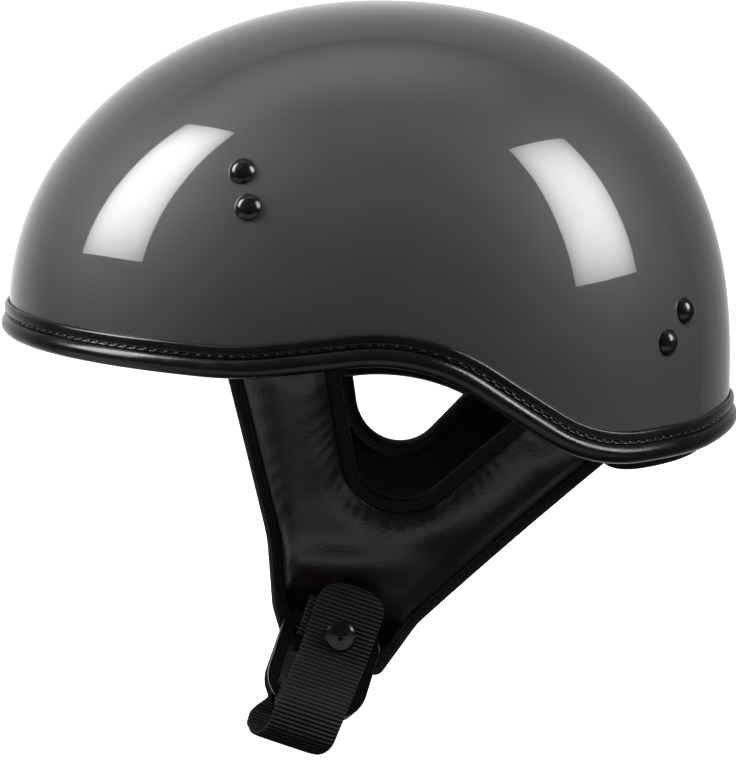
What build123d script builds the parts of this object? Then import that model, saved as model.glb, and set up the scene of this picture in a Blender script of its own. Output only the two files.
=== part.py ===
from build123d import *
from math import acos, cos, pi, radians, sin, sqrt, tan
import os

# A half shell motorcycle helmet: a domed shell with a stitched edge trim, a foam liner with pads,
# two padded ear covers on riveted webbing, and a chin strap through a pair of slotted D-rings.
# The front faces -X, the wearer's left is -Y, and the origin is where the crown pad meets the head.

os.makedirs("parts", exist_ok=True)

# Shell: half lengths at the widest section, and how far below the crown each quarter is widest
CROWN_HEIGHT = 34.5
SHELL_WALL = 4.0
FRONT_REACH = 139.0
REAR_REACH = 135.0
SIDE_REACH = 112.0
FRONT_DROP = 116.5
REAR_DROP = 137.0
SIDE_DROP = 135.0
APEX_X = 2.0
FRONT_POWER_SHARE = 2.0
REAR_POWER_SHARE = 2.3
SIDE_POWER_SHARE = 2.3
DOME_STEPS = 11
DOME_FIRST_SHARE = 0.025

# Brim, seen from the side: the trim's lowest line from the front edge to the back edge
BRIM_END_MARGIN = 15.0
BRIM_DIP_X = -48.0
BRIM_EAR_X = 17.6
BRIM_NAPE_X = 79.9
BRIM_TAIL_X = 122.0
BRIM_FRONT_Z = -87.75
BRIM_DIP_Z = -91.8
BRIM_EAR_Z = -83.6
BRIM_NAPE_Z = -126.3
BRIM_REAR_Z = -121.4
BRIM_DIP_RADIUS = 155.0
BRIM_EAR_RADIUS = 65.0
BRIM_NAPE_RADIUS = 62.0
BRIM_TAIL_RADIUS = 45.0

# Edge trim: a vinyl strip with a round bead that takes the shell's edge
TRIM_HEIGHT = 11.2
BEAD_RADIUS = 3.7
BEAD_PROUD = 3.0
EDGE_LIFT = 3.0
SKIRT_THICKNESS = 1.1
STITCH_GROOVE = 0.5
FLANGE_HEIGHT = 9.0
FLANGE_THICKNESS = 0.7
TRIM_CLEARANCE = 0.3
TRIM_STATIONS = 41
SOLVE_STEPS = 40

# Webbing, 1 inch wide, and the rivets that hold it to the shell
WEB_WIDTH = 25.4
WEB_THICKNESS = 1.4
WEB_INSET = 5.6
CHANNEL_CLEARANCE = 1.0
RIVET_HEAD_DIAMETER = 10.0
RIVET_HEAD_HEIGHT = 3.0
RIVET_SHANK_DIAMETER = 4.0
WASHER_DIAMETER = 9.6
WASHER_THICKNESS = 1.0
RIVET_CLEARANCE = 0.3
RIVET_SHOULDER_SHARES = (0.36, 0.74)
FRONT_RIVET_X = -45.9
FRONT_RIVET_Z = -20.2
FRONT_RIVET_LEAN = 10.5
REAR_RIVET_X = 115.4
REAR_RIVET_Z = -74.8
REAR_RIVET_LEAN = 33.0
REAR_WEB_LEAN = 45.0
RIVET_PITCH = 12.4
WEB_END_MARGIN = 9.0
WEB_LEAVES_LIFT = 10.0

# Liner and pads, as distances in from the shell's outer face
LINER_OUTER_INSET = 4.3
LINER_INNER_INSET = 28.0
LINER_LIFT = 12.0
PAD_THICKNESS = 6.2
PAD_CLEARANCE = 0.3
CROWN_PAD_RADIUS = 52.0
PAD_BAND_LIFT = 14.0
PAD_BAND_HEIGHT = 34.0
BROW_PAD_X = -48.0
REAR_PAD_X = 52.0
PAD_GAP = 8.0
NECK_ROLL_X = 96.0
NECK_ROLL_INSET = WEB_INSET + WEB_THICKNESS + PAD_CLEARANCE
NECK_ROLL_DEPTH = 15.0
NECK_ROLL_DROP = 4.0
NECK_ROLL_HEIGHT = 15.5

# Harness frame: it leans forward, and its origin is level with the bar of the upper D-ring
HARNESS_LEAN = 19.0
HARNESS_X = -11.0
HARNESS_Z = -195.6
TOE_IN = 9.8
COVER_TOP_INSET = 24.6
COVER_TOP = 97.5
COVER_WAIST_OUT_SHARE = 0.47
COVER_WAIST = 56.5
COVER_JAW_OUT = 49.6
COVER_LENGTH = 140.0
COVER_HEIGHT = 112.0
COVER_LIFT = 1.6
COVER_FACE_DEPTH = 4.5
LINING_DEPTH = 9.4
POCKET_CLEARANCE = 0.15
BINDING_WIDTH = 5.5
BINDING_SINK = 1.2
JAW_SEAM = 7.5
JAW_PAD_SINK = 3.4
SEAM_CLEARANCE = 0.3
ANCHOR_CLEARANCE = 0.95

# D-rings: stamped plates with a slot for the short strap and an opening for the long one
RING_WIDTH = 37.8
RING_HEIGHT = 36.0
RING_THICKNESS = 1.6
RING_BAR = 5.0
RING_SIDE_BAR = 4.9
RING_SLOT = 5.5
RING_CROSSBAR = 3.0
RING_TOP_RADIUS = 6.5
RING_BOW_RADIUS = 12.5
RING_SLOT_RADIUS = 1.6
RING_OPENING_RADIUS = 4.2
RING_TILT = 30.0
RING_STAGGER = 2.0
RING_GAP = 0.7
RING_EDGE_BREAK = 0.2
RING_BAR_OUT = 55.6
STRAP_SHIFT = -2.6
STRAP_GAP = 0.3

# Chin strap, its folded tail and the snap
CHIN_DROP = 43.0
CHIN_CURVE_SHARES = [(-0.93, 0.74), (-0.55, 1), (0.85, 1)]
CHIN_RADIUS_SHARES = [0.3, 0.35, 0.3]
TAIL_DROP = 44.0
TAIL_SWELL = 21.0
TAIL_TOP = 19.5
TAIL_FOLD_RADIUS = 8.5
FOLD_OUT = 10.5
FOLD_GAP = 0.3
TAIL_EASE_RADIUS = 12.75
TAIL_BEND_SHARES = (0.62, 0.7)
TAIL_CORNER_RADIUS = 10.2
SHORT_STRAP_TOP = 34.0
SHORT_STRAP_END = 10.5
SHORT_BEND_SHARES = (1.2, 0.2)
SHORT_LOOP_RADIUS = 2.1
SHORT_LOOP_SLACK = 0.75
ROOT_BEND_SHARE = 0.3
ROOT_DROP = 1.4
PIVOT_GAP = 0.35
SNAP_DIAMETER = 11.4
SNAP_CAP_HEIGHT = 1.5
SNAP_CAP_SHARES = [(1, 0), (1, 0.4), (0.84, 0.85)]
SNAP_DIMPLE_RADIUS = 1.3
SNAP_DIMPLE_DEPTH = 0.5
STUD_DIAMETER = 9.0
STUD_FLANGE = 0.8
BACK_WASHER_THICKNESS = 0.6
WASHER_ROOM = 1.2
STUD_POST_DIAMETER = 3.2
STUD_POST_HEIGHT = 2.0
SOCKET_DIAMETER = 9.6
SOCKET_THICKNESS = 1.8
SNAP_CLEARANCE = 0.65
SNAP_PLAY = 0.9
TAB_WIDTH = 20.0
TAB_THICKNESS = 0.6
TAB_LENGTH = 9.5

OVERRUN = 60.0

# Outline of an ear cover in its own frame, as shares of its length and height, with corner radii as
# shares of its height: down the front edge, round the jaw, up the rear edge, and down and up the V
COVER_FOOT_SHARE = -0.135
COVER_OUTLINE_SHARES = [(-0.776, 1.3), (-0.268, 0.228), (-0.193, 0), (-0.121, COVER_FOOT_SHARE),
                        (0.145, COVER_FOOT_SHARE), (0.1936, 0.089), (0.6855, 1.3), (0.406, 1.3),
                        (-0.006, 0.3125), (-0.418, 1.3)]
COVER_RADIUS_SHARES = [0, 0.54, 0.18, 0.08, 0.036, 0.22, 0, 0, 0.156, 0]

# Webbing legs inside a cover: where each crosses the brim, and how far up the short strap they meet
LEG_PLACE_SHARES = {"front": (-0.388, 0.83), "rear": (0.371, 0.875)}
LEG_JOINT_SHARE = 0.3

# Long strap's way through the rings: the ring it passes, how far below that ring's foot and how far out of
# its plane, as shares of the distance that webbing keeps from a ring's middle plane, with the bend radii
WEAVE_SHARES = [("lower", 0.5, -1.95), ("lower", -6.4, -1.95), ("upper", -4.4, 1.4), ("upper", 2, 1),
                ("lower", -4.3, -1), ("lower", 2.2, -1)]
WEAVE_RADIUS_SHARES = [2.8, 1, 1.2, 1, 0.8, 1.5, 1.7]


brim_front_x = -FRONT_REACH - BRIM_END_MARGIN
brim_rear_x = REAR_REACH + BRIM_END_MARGIN


def reach(depth, half_length, drop, power):
    """Half length of a dome's quarter, this far below its crown."""
    part = min(max(depth / drop, 0), 1)
    return half_length * (1 - (1 - part) ** power) ** (1 / power)


def section_at(z, inset):
    """Centre x and half axes of the ellipse that cuts the dome at height z."""
    depth = CROWN_HEIGHT - inset - z
    front = reach(depth, FRONT_REACH - inset, FRONT_DROP - inset, FRONT_POWER_SHARE)
    rear = reach(depth, REAR_REACH - inset, REAR_DROP - inset, REAR_POWER_SHARE)
    side = reach(depth, SIDE_REACH - inset, SIDE_DROP - inset, SIDE_POWER_SHARE)
    return APEX_X + (rear - front) / 2, (front + rear) / 2, side


def dome(inset):
    """Solid dome whose surface lies this far inside the shell's outer face."""
    drop = REAR_DROP - inset
    with BuildPart() as solid:
        for step in range(DOME_STEPS + 1):
            turn = pi / 2 * (DOME_FIRST_SHARE + (1 - DOME_FIRST_SHARE) * step / DOME_STEPS)
            z = CROWN_HEIGHT - inset - drop * (1 - cos(turn))
            centre_x, half_x, half_y = section_at(z, inset)
            with BuildSketch(Plane((centre_x, 0, z))):
                Ellipse(half_x, half_y)
        loft()
        with BuildSketch(Plane((centre_x, 0, z))):
            Ellipse(half_x, half_y)
        extrude(amount=-OVERRUN)
    return solid.part


def dome_point(x, z, inset, side):
    """Point of a dome at this x and z, with the outward normal there."""
    step = SHELL_WALL / 100

    def half_width(px, pz):
        centre_x, half_x, half_y = section_at(pz, inset)
        return half_y * sqrt(max(1 - ((px - centre_x) / half_x) ** 2, 0))

    y = half_width(x, z)
    slope_x = (half_width(x + step, z) - half_width(x - step, z)) / (2 * step)
    slope_z = (half_width(x, z + step) - half_width(x, z - step)) / (2 * step)
    return Vector(x, side * y, z), Vector(-slope_x, side, -slope_z).normalized()


def brim_corners(lift):
    """Corners and radii of the brim line, moved square to itself by the lift."""
    places = [(brim_front_x, BRIM_FRONT_Z), (BRIM_DIP_X, BRIM_DIP_Z), (BRIM_EAR_X, BRIM_EAR_Z),
              (BRIM_NAPE_X, BRIM_NAPE_Z), (BRIM_TAIL_X, BRIM_NAPE_Z), (brim_rear_x, BRIM_REAR_Z)]
    base = [Vector(*place) for place in places]
    normals = []
    for start, end in zip(base, base[1:]):
        run = (end - start).normalized()
        normals.append(Vector(-run.Y, run.X))
    corners = [base[0] + normals[0] * lift]
    for corner, before, after in zip(base[1:], normals, normals[1:]):
        corners.append(corner + (before + after) * (lift / (1 + before.dot(after))))
    corners.append(base[-1] + normals[-1] * lift)
    radii = [BRIM_DIP_RADIUS - lift, BRIM_EAR_RADIUS + lift, BRIM_NAPE_RADIUS - lift, BRIM_TAIL_RADIUS - lift]
    return corners, [max(radius, SHELL_WALL) for radius in radii]


def brim_height(x, lift):
    """Height of the lifted brim line at x."""
    corners, radii = brim_corners(lift)
    for before, corner, after, radius in zip(corners, corners[1:], corners[2:], radii):
        run_in = (corner - before).normalized()
        run_out = (after - corner).normalized()
        reach_back = radius * tan(acos(min(run_in.dot(run_out), 1)) / 2)
        start = corner - run_in * reach_back
        end = corner + run_out * reach_back
        if start.X <= x <= end.X:
            upward = 1 if run_out.Y > run_in.Y else -1
            centre = start + Vector(-run_in.Y, run_in.X) * (radius * upward)
            return centre.Y - upward * sqrt(radius ** 2 - (x - centre.X) ** 2)
    for start, end in zip(corners, corners[1:]):
        if x <= end.X or end is corners[-1]:
            return start.Y + (end.Y - start.Y) * (x - start.X) / (end.X - start.X)


def brim_region(lift, above=False):
    """Side view region below, or above, the lifted brim line."""
    corners, radii = brim_corners(lift)
    far_z = CROWN_HEIGHT + OVERRUN if above else BRIM_NAPE_Z - 3 * OVERRUN
    with BuildSketch() as region:
        with BuildLine():
            FilletPolyline(*corners, radius=radii)
            Polyline(corners[-1], (brim_rear_x, far_z), (brim_front_x, far_z), corners[0])
        make_face()
    return region.sketch


def brim_cut(part, lift, above=False):
    """Part without what lies below, or above, the lifted brim line."""
    region = brim_region(lift, above)
    with BuildPart() as cut:
        add(part)
        with BuildSketch(Plane.XZ):
            add(region)
        extrude(amount=2 * SIDE_REACH, both=True, mode=Mode.SUBTRACT)
    return cut.part


def trim_frame(turn, inset, lift):
    """Plane across the brim at one station: x runs out of the wall and y runs up it."""

    def place(angle):
        x = 0
        for _ in range(SOLVE_STEPS):
            z = brim_height(x, lift)
            centre_x, half_x, half_y = section_at(z, inset)
            x = centre_x + half_x * cos(angle)
        return Vector(x, -half_y * sin(angle), z)

    nudge = pi / 2000
    here = place(turn)
    along = (place(turn + nudge) - place(turn - nudge)).normalized()
    centre_x, half_x, half_y = section_at(here.Z, inset)
    lower = section_at(here.Z - SHELL_WALL, inset)
    rise_x = centre_x - lower[0] + (half_x - lower[1]) * cos(turn)
    rise = Vector(rise_x, -(half_y - lower[2]) * sin(turn), SHELL_WALL)
    outward = rise.cross(along).normalized()
    if outward.dot(Vector(cos(turn), -sin(turn), 0)) < 0:
        outward = -outward
    normal = along if along.cross(outward).Z > 0 else -along
    return Plane(here, x_dir=outward, z_dir=normal)


def brim_strip(profile):
    """Ring that carries a closed profile round the brim, as straight-sided stations."""
    with BuildPart() as strip:
        for station in range(TRIM_STATIONS):
            turn = pi * station / (TRIM_STATIONS - 1)
            with BuildSketch(trim_frame(turn, 0, 0)):
                with BuildLine():
                    Polyline(*profile, close=True)
                make_face()
        loft(ruled=True)
        mirror(about=Plane.XZ)
    return strip.part


def mirrored(part):
    """Copy of a part on the wearer's right."""
    with BuildPart() as twin:
        mirror(part, about=Plane.XZ)
    return twin.part


def single(solid):
    """Part that holds one solid of another."""
    with BuildPart() as kept:
        add(solid)
    return kept.part


def export(part, name):
    """Labels a finished piece and writes it."""
    part.label = name
    export_step(part, f"parts/{name}.step")


# Shared solids
shell_dome = dome(0)
shell_inner = dome(SHELL_WALL)
liner_dome = dome(LINER_OUTER_INSET)
liner_inner = dome(LINER_INNER_INSET)
web_dome = dome(WEB_INSET)
web_inner = dome(WEB_INSET + WEB_THICKNESS)
channel_dome = dome(WEB_INSET + WEB_THICKNESS + CHANNEL_CLEARANCE / 2)
pad_dome = dome(LINER_INNER_INSET + PAD_CLEARANCE)
pad_inner = dome(CROWN_HEIGHT)
neck_dome = dome(NECK_ROLL_INSET)
neck_inner = dome(NECK_ROLL_INSET + NECK_ROLL_DEPTH)

# Rivet rows, two rivets each: place of the upper rivet, lean of the row, and lean of the webbing under it
rivet_rows = {"front": (FRONT_RIVET_X, FRONT_RIVET_Z, FRONT_RIVET_LEAN, FRONT_RIVET_LEAN),
              "rear": (REAR_RIVET_X, REAR_RIVET_Z, -REAR_RIVET_LEAN, -REAR_WEB_LEAN)}


def rivet_planes(side):
    """Planes on the shell's outer face at the rivets of one side, facing out."""
    planes = []
    for x, z, row_lean, _ in rivet_rows.values():
        row_turn = radians(row_lean)
        for count in range(2):
            run = RIVET_PITCH * count
            place, normal = dome_point(x + run * sin(row_turn), z - run * cos(row_turn), 0, side)
            planes.append(Plane(place, z_dir=normal))
    return planes


def rivet_set(side):
    """Domed rivets of one side, each with its shank through shell, webbing and washer."""
    shank_length = WEB_INSET + WEB_THICKNESS + WASHER_THICKNESS + RIVET_CLEARANCE + WASHER_THICKNESS / 2
    across_share, up_share = RIVET_SHOULDER_SHARES
    with BuildPart() as rivets:
        for seat in rivet_planes(side):
            with BuildSketch(Plane(seat.origin, x_dir=seat.x_dir, z_dir=seat.y_dir)):
                with BuildLine():
                    top = (0, -RIVET_HEAD_HEIGHT - RIVET_CLEARANCE)
                    rim = (RIVET_HEAD_DIAMETER / 2, -RIVET_CLEARANCE)
                    shoulder = (RIVET_HEAD_DIAMETER * across_share, -RIVET_HEAD_HEIGHT * up_share)
                    ThreePointArc(top, shoulder, rim)
                    Polyline(rim, (RIVET_SHANK_DIAMETER / 2, -RIVET_CLEARANCE),
                             (RIVET_SHANK_DIAMETER / 2, shank_length), (0, shank_length), top)
                make_face()
            revolve(axis=Axis(seat.origin, seat.z_dir))
    return rivets.part


def washer_set(side):
    """Burr washers of one side, inside the webbing."""
    with BuildPart() as washers:
        for seat in rivet_planes(side):
            level = -WEB_INSET - WEB_THICKNESS - WASHER_THICKNESS - RIVET_CLEARANCE
            with BuildSketch(seat.offset(level)):
                Circle(WASHER_DIAMETER / 2)
                Circle(RIVET_SHANK_DIAMETER / 2 + RIVET_CLEARANCE / 5, mode=Mode.SUBTRACT)
            extrude(amount=WASHER_THICKNESS)
    return washers.part


def rivet_bores(diameter, depth, side):
    """Bores on the rivet axes of one side, from outside the shell to a depth."""
    with BuildPart() as bores:
        for seat in rivet_planes(side):
            with BuildSketch(seat.offset(OVERRUN / 10)):
                Circle(diameter / 2)
            extrude(amount=-depth - OVERRUN / 10)
    return bores.part


def web_run(row):
    """Middle of a strap's rivets in side view, and the direction in which the strap runs down."""
    x, z, row_lean, web_lean = rivet_rows[row]
    half = RIVET_PITCH / 2
    middle = Vector(x + half * sin(radians(row_lean)), z - half * cos(radians(row_lean)))
    return middle, Vector(sin(radians(web_lean)), -cos(radians(web_lean)))


def web_outline(row, margin):
    """Side view of one strap's run from above its rivets down past the brim."""
    middle, run = web_run(row)
    across = Vector(run.Y, -run.X) * (WEB_WIDTH / 2 + margin)
    head = middle - run * (RIVET_PITCH / 2 + WEB_END_MARGIN + margin)
    foot = head + run * (REAR_DROP + OVERRUN)
    return [head + across, head - across, foot - across, foot + across]


bore_depth = WEB_INSET + WEB_THICKNESS + OVERRUN / 20
left_bores = rivet_bores(RIVET_SHANK_DIAMETER + 2 * RIVET_CLEARANCE, bore_depth, -1)
right_bores = mirrored(left_bores)

# Outer shell
with BuildPart() as outer_shell:
    add(shell_dome)
    add(shell_inner, mode=Mode.SUBTRACT)
    add(left_bores, mode=Mode.SUBTRACT)
    add(right_bores, mode=Mode.SUBTRACT)
export(brim_cut(outer_shell.part, EDGE_LIFT), "outer_shell")

# Edge trim: a round bead with an inner flange, and a flat skirt above the stitch groove
bead_centre_x = BEAD_PROUD - BEAD_RADIUS
flange_x = -SHELL_WALL - TRIM_CLEARANCE
bead_profile = [(TRIM_CLEARANCE, 2 * BEAD_RADIUS - STITCH_GROOVE / 2)]
for part_turn in range(7):
    angle = radians(60 - 30 * part_turn)
    bead_profile.append((bead_centre_x + BEAD_RADIUS * cos(angle), BEAD_RADIUS + BEAD_RADIUS * sin(angle)))
bead_profile += [(flange_x - FLANGE_THICKNESS, EDGE_LIFT / 2), (flange_x - FLANGE_THICKNESS, FLANGE_HEIGHT),
                 (flange_x, FLANGE_HEIGHT), (flange_x, EDGE_LIFT - 3 * TRIM_CLEARANCE),
                 (TRIM_CLEARANCE, EDGE_LIFT - TRIM_CLEARANCE)]
export(brim_strip(bead_profile), "trim_bead")
skirt_foot = 2 * BEAD_RADIUS
skirt_out = TRIM_CLEARANCE + SKIRT_THICKNESS
skirt_profile = [(TRIM_CLEARANCE, skirt_foot), (skirt_out, skirt_foot),
                 (skirt_out, TRIM_HEIGHT - STITCH_GROOVE), (skirt_out - STITCH_GROOVE, TRIM_HEIGHT),
                 (TRIM_CLEARANCE, TRIM_HEIGHT)]
export(brim_strip(skirt_profile), "trim_skirt")

# Rivets and their washers
for side, side_name in ((-1, "left"), (1, "right")):
    export(rivet_set(side), f"rivets_{side_name}")
    export(washer_set(side), f"rivet_washers_{side_name}")

# Foam liner, with a channel behind each strap and a pocket behind each washer
channels = []
for row in rivet_rows:
    with BuildPart() as channel:
        with BuildSketch(Plane.XZ):
            with BuildLine():
                Polyline(*web_outline(row, CHANNEL_CLEARANCE), close=True)
            make_face()
        extrude(amount=2 * SIDE_REACH, both=True)
        add(channel_dome, mode=Mode.SUBTRACT)
    channels.append(channel.part)
pocket_depth = WEB_INSET + WEB_THICKNESS + 2 * WASHER_THICKNESS + CHANNEL_CLEARANCE
left_pockets = rivet_bores(WASHER_DIAMETER + CHANNEL_CLEARANCE, pocket_depth, -1)
right_pockets = mirrored(left_pockets)
with BuildPart() as foam_liner:
    add(liner_dome)
    add(liner_inner, mode=Mode.SUBTRACT)
    for hollow in (*channels, left_pockets, right_pockets):
        add(hollow, mode=Mode.SUBTRACT)
export(brim_cut(foam_liner.part, LINER_LIFT), "foam_liner")

# Crown pad
with BuildPart() as crown_pad:
    add(pad_dome)
    add(pad_inner, mode=Mode.SUBTRACT)
    with BuildSketch(Plane((APEX_X, 0, 0), z_dir=(0, 0, 1)).offset(-OVERRUN)):
        Circle(CROWN_PAD_RADIUS)
    extrude(amount=2 * OVERRUN, mode=Mode.INTERSECT)
export(crown_pad.part, "crown_pad")


def band_pad(start_x, end_x, inner):
    """Pad of the headband between two cross planes."""
    with BuildPart() as pad:
        add(pad_dome)
        add(inner, mode=Mode.SUBTRACT)
        with BuildSketch(Plane.XY.offset(BRIM_NAPE_Z - OVERRUN)):
            with Locations(((start_x + end_x) / 2, 0)):
                Rectangle(end_x - start_x, 3 * SIDE_REACH)
        extrude(amount=3 * OVERRUN - BRIM_NAPE_Z, mode=Mode.INTERSECT)
    return brim_cut(brim_cut(pad.part, PAD_BAND_LIFT), PAD_BAND_LIFT + PAD_BAND_HEIGHT, above=True)


# Headband pads, with gaps between them where the straps run behind
band_inner = dome(LINER_INNER_INSET + PAD_CLEARANCE + PAD_THICKNESS)
export(band_pad(brim_front_x, BROW_PAD_X, band_inner), "brow_pad")
export(band_pad(REAR_PAD_X, brim_rear_x, band_inner), "rear_pad")
side_pads = band_pad(BROW_PAD_X + PAD_GAP, REAR_PAD_X - PAD_GAP, band_inner).solids().sort_by(Axis.Y)
export(single(side_pads[0]), "side_pad_left")
export(single(side_pads[-1]), "side_pad_right")

# Neck roll, under the liner at the nape
with BuildPart() as neck_roll:
    add(neck_dome)
    add(neck_inner, mode=Mode.SUBTRACT)
    with BuildSketch(Plane.XY.offset(BRIM_NAPE_Z - OVERRUN)):
        with Locations((NECK_ROLL_X + OVERRUN, 0)):
            Rectangle(2 * OVERRUN, 3 * SIDE_REACH)
    extrude(amount=3 * OVERRUN - BRIM_NAPE_Z, mode=Mode.INTERSECT)
neck_top = NECK_ROLL_HEIGHT - NECK_ROLL_DROP
export(brim_cut(brim_cut(neck_roll.part, -NECK_ROLL_DROP), neck_top, above=True), "neck_roll")

# Harness frame on the wearer's left
lean = radians(HARNESS_LEAN)
toe = radians(TOE_IN)
harness_origin = Vector(HARNESS_X, 0, HARNESS_Z)
harness_up = Vector(sin(lean), 0, cos(lean))
strap_across = Vector(cos(lean), 0, -sin(lean))
cover_across = Vector(cos(lean) * cos(toe), sin(toe), -sin(lean) * cos(toe))
side_plane = Plane(harness_origin, x_dir=strap_across, z_dir=(0, -1, 0))
strap_plane = Plane(harness_origin, x_dir=(0, -1, 0), z_dir=-strap_across)
cover_plane = Plane(harness_origin, x_dir=cover_across.cross(harness_up), z_dir=-cover_across)

# The cover's leather face is an arc through three points of its own frame, and it follows the shell's width
cover_top_out = SIDE_REACH - COVER_TOP_INSET
waist_out = COVER_JAW_OUT + (cover_top_out - COVER_JAW_OUT) * COVER_WAIST_OUT_SHARE
with BuildLine():
    face_arc = ThreePointArc((cover_top_out, COVER_TOP), (waist_out, COVER_WAIST), (COVER_JAW_OUT, 0))
face_centre = face_arc.arc_center
face_radius = face_arc.radius
cover_foot = -COVER_HEIGHT / 3
cover_head = COVER_TOP + COVER_HEIGHT / 6


def cover_out(height, depth):
    """How far out the cover's layer at this depth lies, at this height."""
    return face_centre.X - sqrt((face_radius + depth) ** 2 - (height - face_centre.Y) ** 2)


def cover_layer(depth, thickness):
    """Curved sheet of a cover, from one depth below the leather face to a deeper one."""
    heights = (cover_foot, (cover_foot + cover_head) / 2, cover_head)
    outer = [(cover_out(height, depth), height) for height in heights]
    inner = [(cover_out(height, depth + thickness), height) for height in heights]
    with BuildPart() as layer:
        with BuildSketch(cover_plane):
            with BuildLine():
                ThreePointArc(*outer)
                Line(outer[-1], inner[-1])
                ThreePointArc(*inner)
                Line(inner[0], outer[0])
            make_face()
        extrude(amount=COVER_LENGTH, both=True)
    return layer.part


def cover_outline(inset=0):
    """Sketch of the cover's outline, drawn in by an inset."""
    points = [(across * COVER_LENGTH, up * COVER_HEIGHT) for across, up in COVER_OUTLINE_SHARES]
    radii = [share * COVER_HEIGHT for share in COVER_RADIUS_SHARES]
    with BuildSketch() as outline:
        with BuildLine():
            FilletPolyline(*points, radius=radii, close=True)
        make_face()
        if inset:
            offset(amount=-inset, kind=Kind.INTERSECTION)
    return outline.sketch


def cover_piece(depth, thickness, outline, low=None, high=None):
    """Layer of a cover inside an outline, between two heights of the harness frame."""
    low = cover_foot if low is None else low
    high = cover_head if high is None else high
    layer = cover_layer(depth, thickness)
    with BuildPart() as piece:
        add(layer)
        with BuildSketch(side_plane):
            add(outline)
            with Locations((0, (low + high) / 2)):
                Rectangle(3 * COVER_LENGTH, high - low, mode=Mode.INTERSECT)
        extrude(amount=2 * SIDE_REACH, mode=Mode.INTERSECT)
    return brim_cut(piece.part, COVER_LIFT, above=True)


# Leg webbing inside a cover: where each leg crosses the brim, and where they meet above the jaw
leg_places = {row: (along * COVER_LENGTH, up * COVER_HEIGHT) for row, (along, up) in LEG_PLACE_SHARES.items()}
joint_place = (STRAP_SHIFT, SHORT_STRAP_TOP * LEG_JOINT_SHARE)


def leg_outline(start, end, width):
    """Sketch of a straight strap between two places of the harness frame."""
    start, end = Vector(*start), Vector(*end)
    run = (end - start).normalized()
    across = Vector(-run.Y, run.X) * (width / 2)
    head = start - run * WEB_WIDTH
    with BuildSketch() as outline:
        with BuildLine():
            Polyline(head + across, head - across, end - across, end + across, close=True)
        make_face()
    return outline.sketch


full_outline = cover_outline()
inner_outline = cover_outline(BINDING_WIDTH)
web_limit = cover_outline(BINDING_WIDTH + SEAM_CLEARANCE)
with BuildSketch() as binding_sketch:
    add(full_outline)
    add(inner_outline, mode=Mode.SUBTRACT)
web_depth = COVER_FACE_DEPTH + POCKET_CLEARANCE
web_centre = web_depth + WEB_THICKNESS / 2
pad_thickness = LINING_DEPTH - COVER_FACE_DEPTH - POCKET_CLEARANCE

# Padded leather face, above the seam where the short strap comes out
ear_cover = cover_piece(0, COVER_FACE_DEPTH, inner_outline, low=JAW_SEAM)

# Jaw pad of plain fabric below the seam, behind the D-rings
jaw_top = JAW_SEAM - SEAM_CLEARANCE
jaw_pad = cover_piece(JAW_PAD_SINK, COVER_FACE_DEPTH - JAW_PAD_SINK, inner_outline, high=jaw_top)

# Webbing legs in the pocket between face and lining
legs = {}
for row, place in leg_places.items():
    leg_strip = leg_outline(place, joint_place, WEB_WIDTH)
    with BuildSketch() as leg_sketch:
        add(leg_strip)
        add(web_limit, mode=Mode.INTERSECT)
    legs[row] = cover_piece(web_depth, WEB_THICKNESS, leg_sketch.sketch, low=SHORT_STRAP_TOP + SEAM_CLEARANCE)
front_leg = legs["front"]
front_margin = leg_outline(leg_places["front"], joint_place, WEB_WIDTH + 2 * SEAM_CLEARANCE)
front_cut = cover_piece(web_depth - POCKET_CLEARANCE, WEB_THICKNESS + 2 * POCKET_CLEARANCE, front_margin)
with BuildPart() as rear_leg_build:
    add(legs["rear"])
    add(front_cut, mode=Mode.SUBTRACT)
rear_leg = single(rear_leg_build.part.solids().sort_by(SortBy.VOLUME)[-1])


def cover_place(across, up, depth):
    """Point of a layer of the left cover."""
    outward = cover_out(up, depth) / cos(toe) - across * tan(toe)
    return harness_origin + strap_across * across + harness_up * up + Vector(0, -outward, 0)


def wall_place(row, lift):
    """Middle of a strap against the shell's wall at a lift above the brim, and its width's direction."""
    middle, run = web_run(row)
    x = middle.X
    for _ in range(SOLVE_STEPS):
        z = brim_height(x, lift)
        x = middle.X + run.X * (z - middle.Y) / run.Y
    half = Vector(-run.Y, run.X) * WEB_WIDTH / 2
    edges = [dome_point(x + half.X * way, z + half.Y * way, WEB_INSET + WEB_THICKNESS / 2, -1)[0]
             for way in (-1, 1)]
    return (edges[0] + edges[1]) / 2, edges[1] - edges[0]


def leg_place(row, lift):
    """Middle of a leg, carried on to a lift above the brim, and its width's direction."""
    joint = Vector(*joint_place)
    spot = Vector(*leg_places[row])
    run = (spot - joint).normalized()
    for _ in range(SOLVE_STEPS):
        place = cover_place(spot.X, spot.Y, web_centre)
        spot = spot + run * (brim_height(place.X, lift) - place.Z)
    return place, cover_place(spot.X + run.Y, spot.Y - run.X, web_centre) - place


def anchor_bend(row):
    """Webbing from the shell's wall down to the head of a leg, in flat runs with mitred bends."""
    head_lift = COVER_LIFT + ANCHOR_CLEARANCE
    stops = [wall_place(row, WEB_LEAVES_LIFT + WEB_WIDTH / 2), wall_place(row, WEB_LEAVES_LIFT),
             leg_place(row, head_lift), leg_place(row, head_lift - WEB_WIDTH / 2)]
    places = [place for place, _ in stops]
    runs = [(after - before).normalized() for before, after in zip(places, places[1:])]
    mitres = [(before + after).normalized() for before, after in zip(runs, runs[1:])]
    with BuildPart() as bend:
        for (place, width_way), way in zip(stops, [runs[0], *mitres, runs[-1]]):
            with BuildSketch(Plane(place, x_dir=width_way - way * width_way.dot(way), z_dir=way)):
                Rectangle(WEB_WIDTH, WEB_THICKNESS)
        loft(ruled=True)
    return brim_cut(brim_cut(bend.part, head_lift), WEB_LEAVES_LIFT + SEAM_CLEARANCE, above=True)


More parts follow.
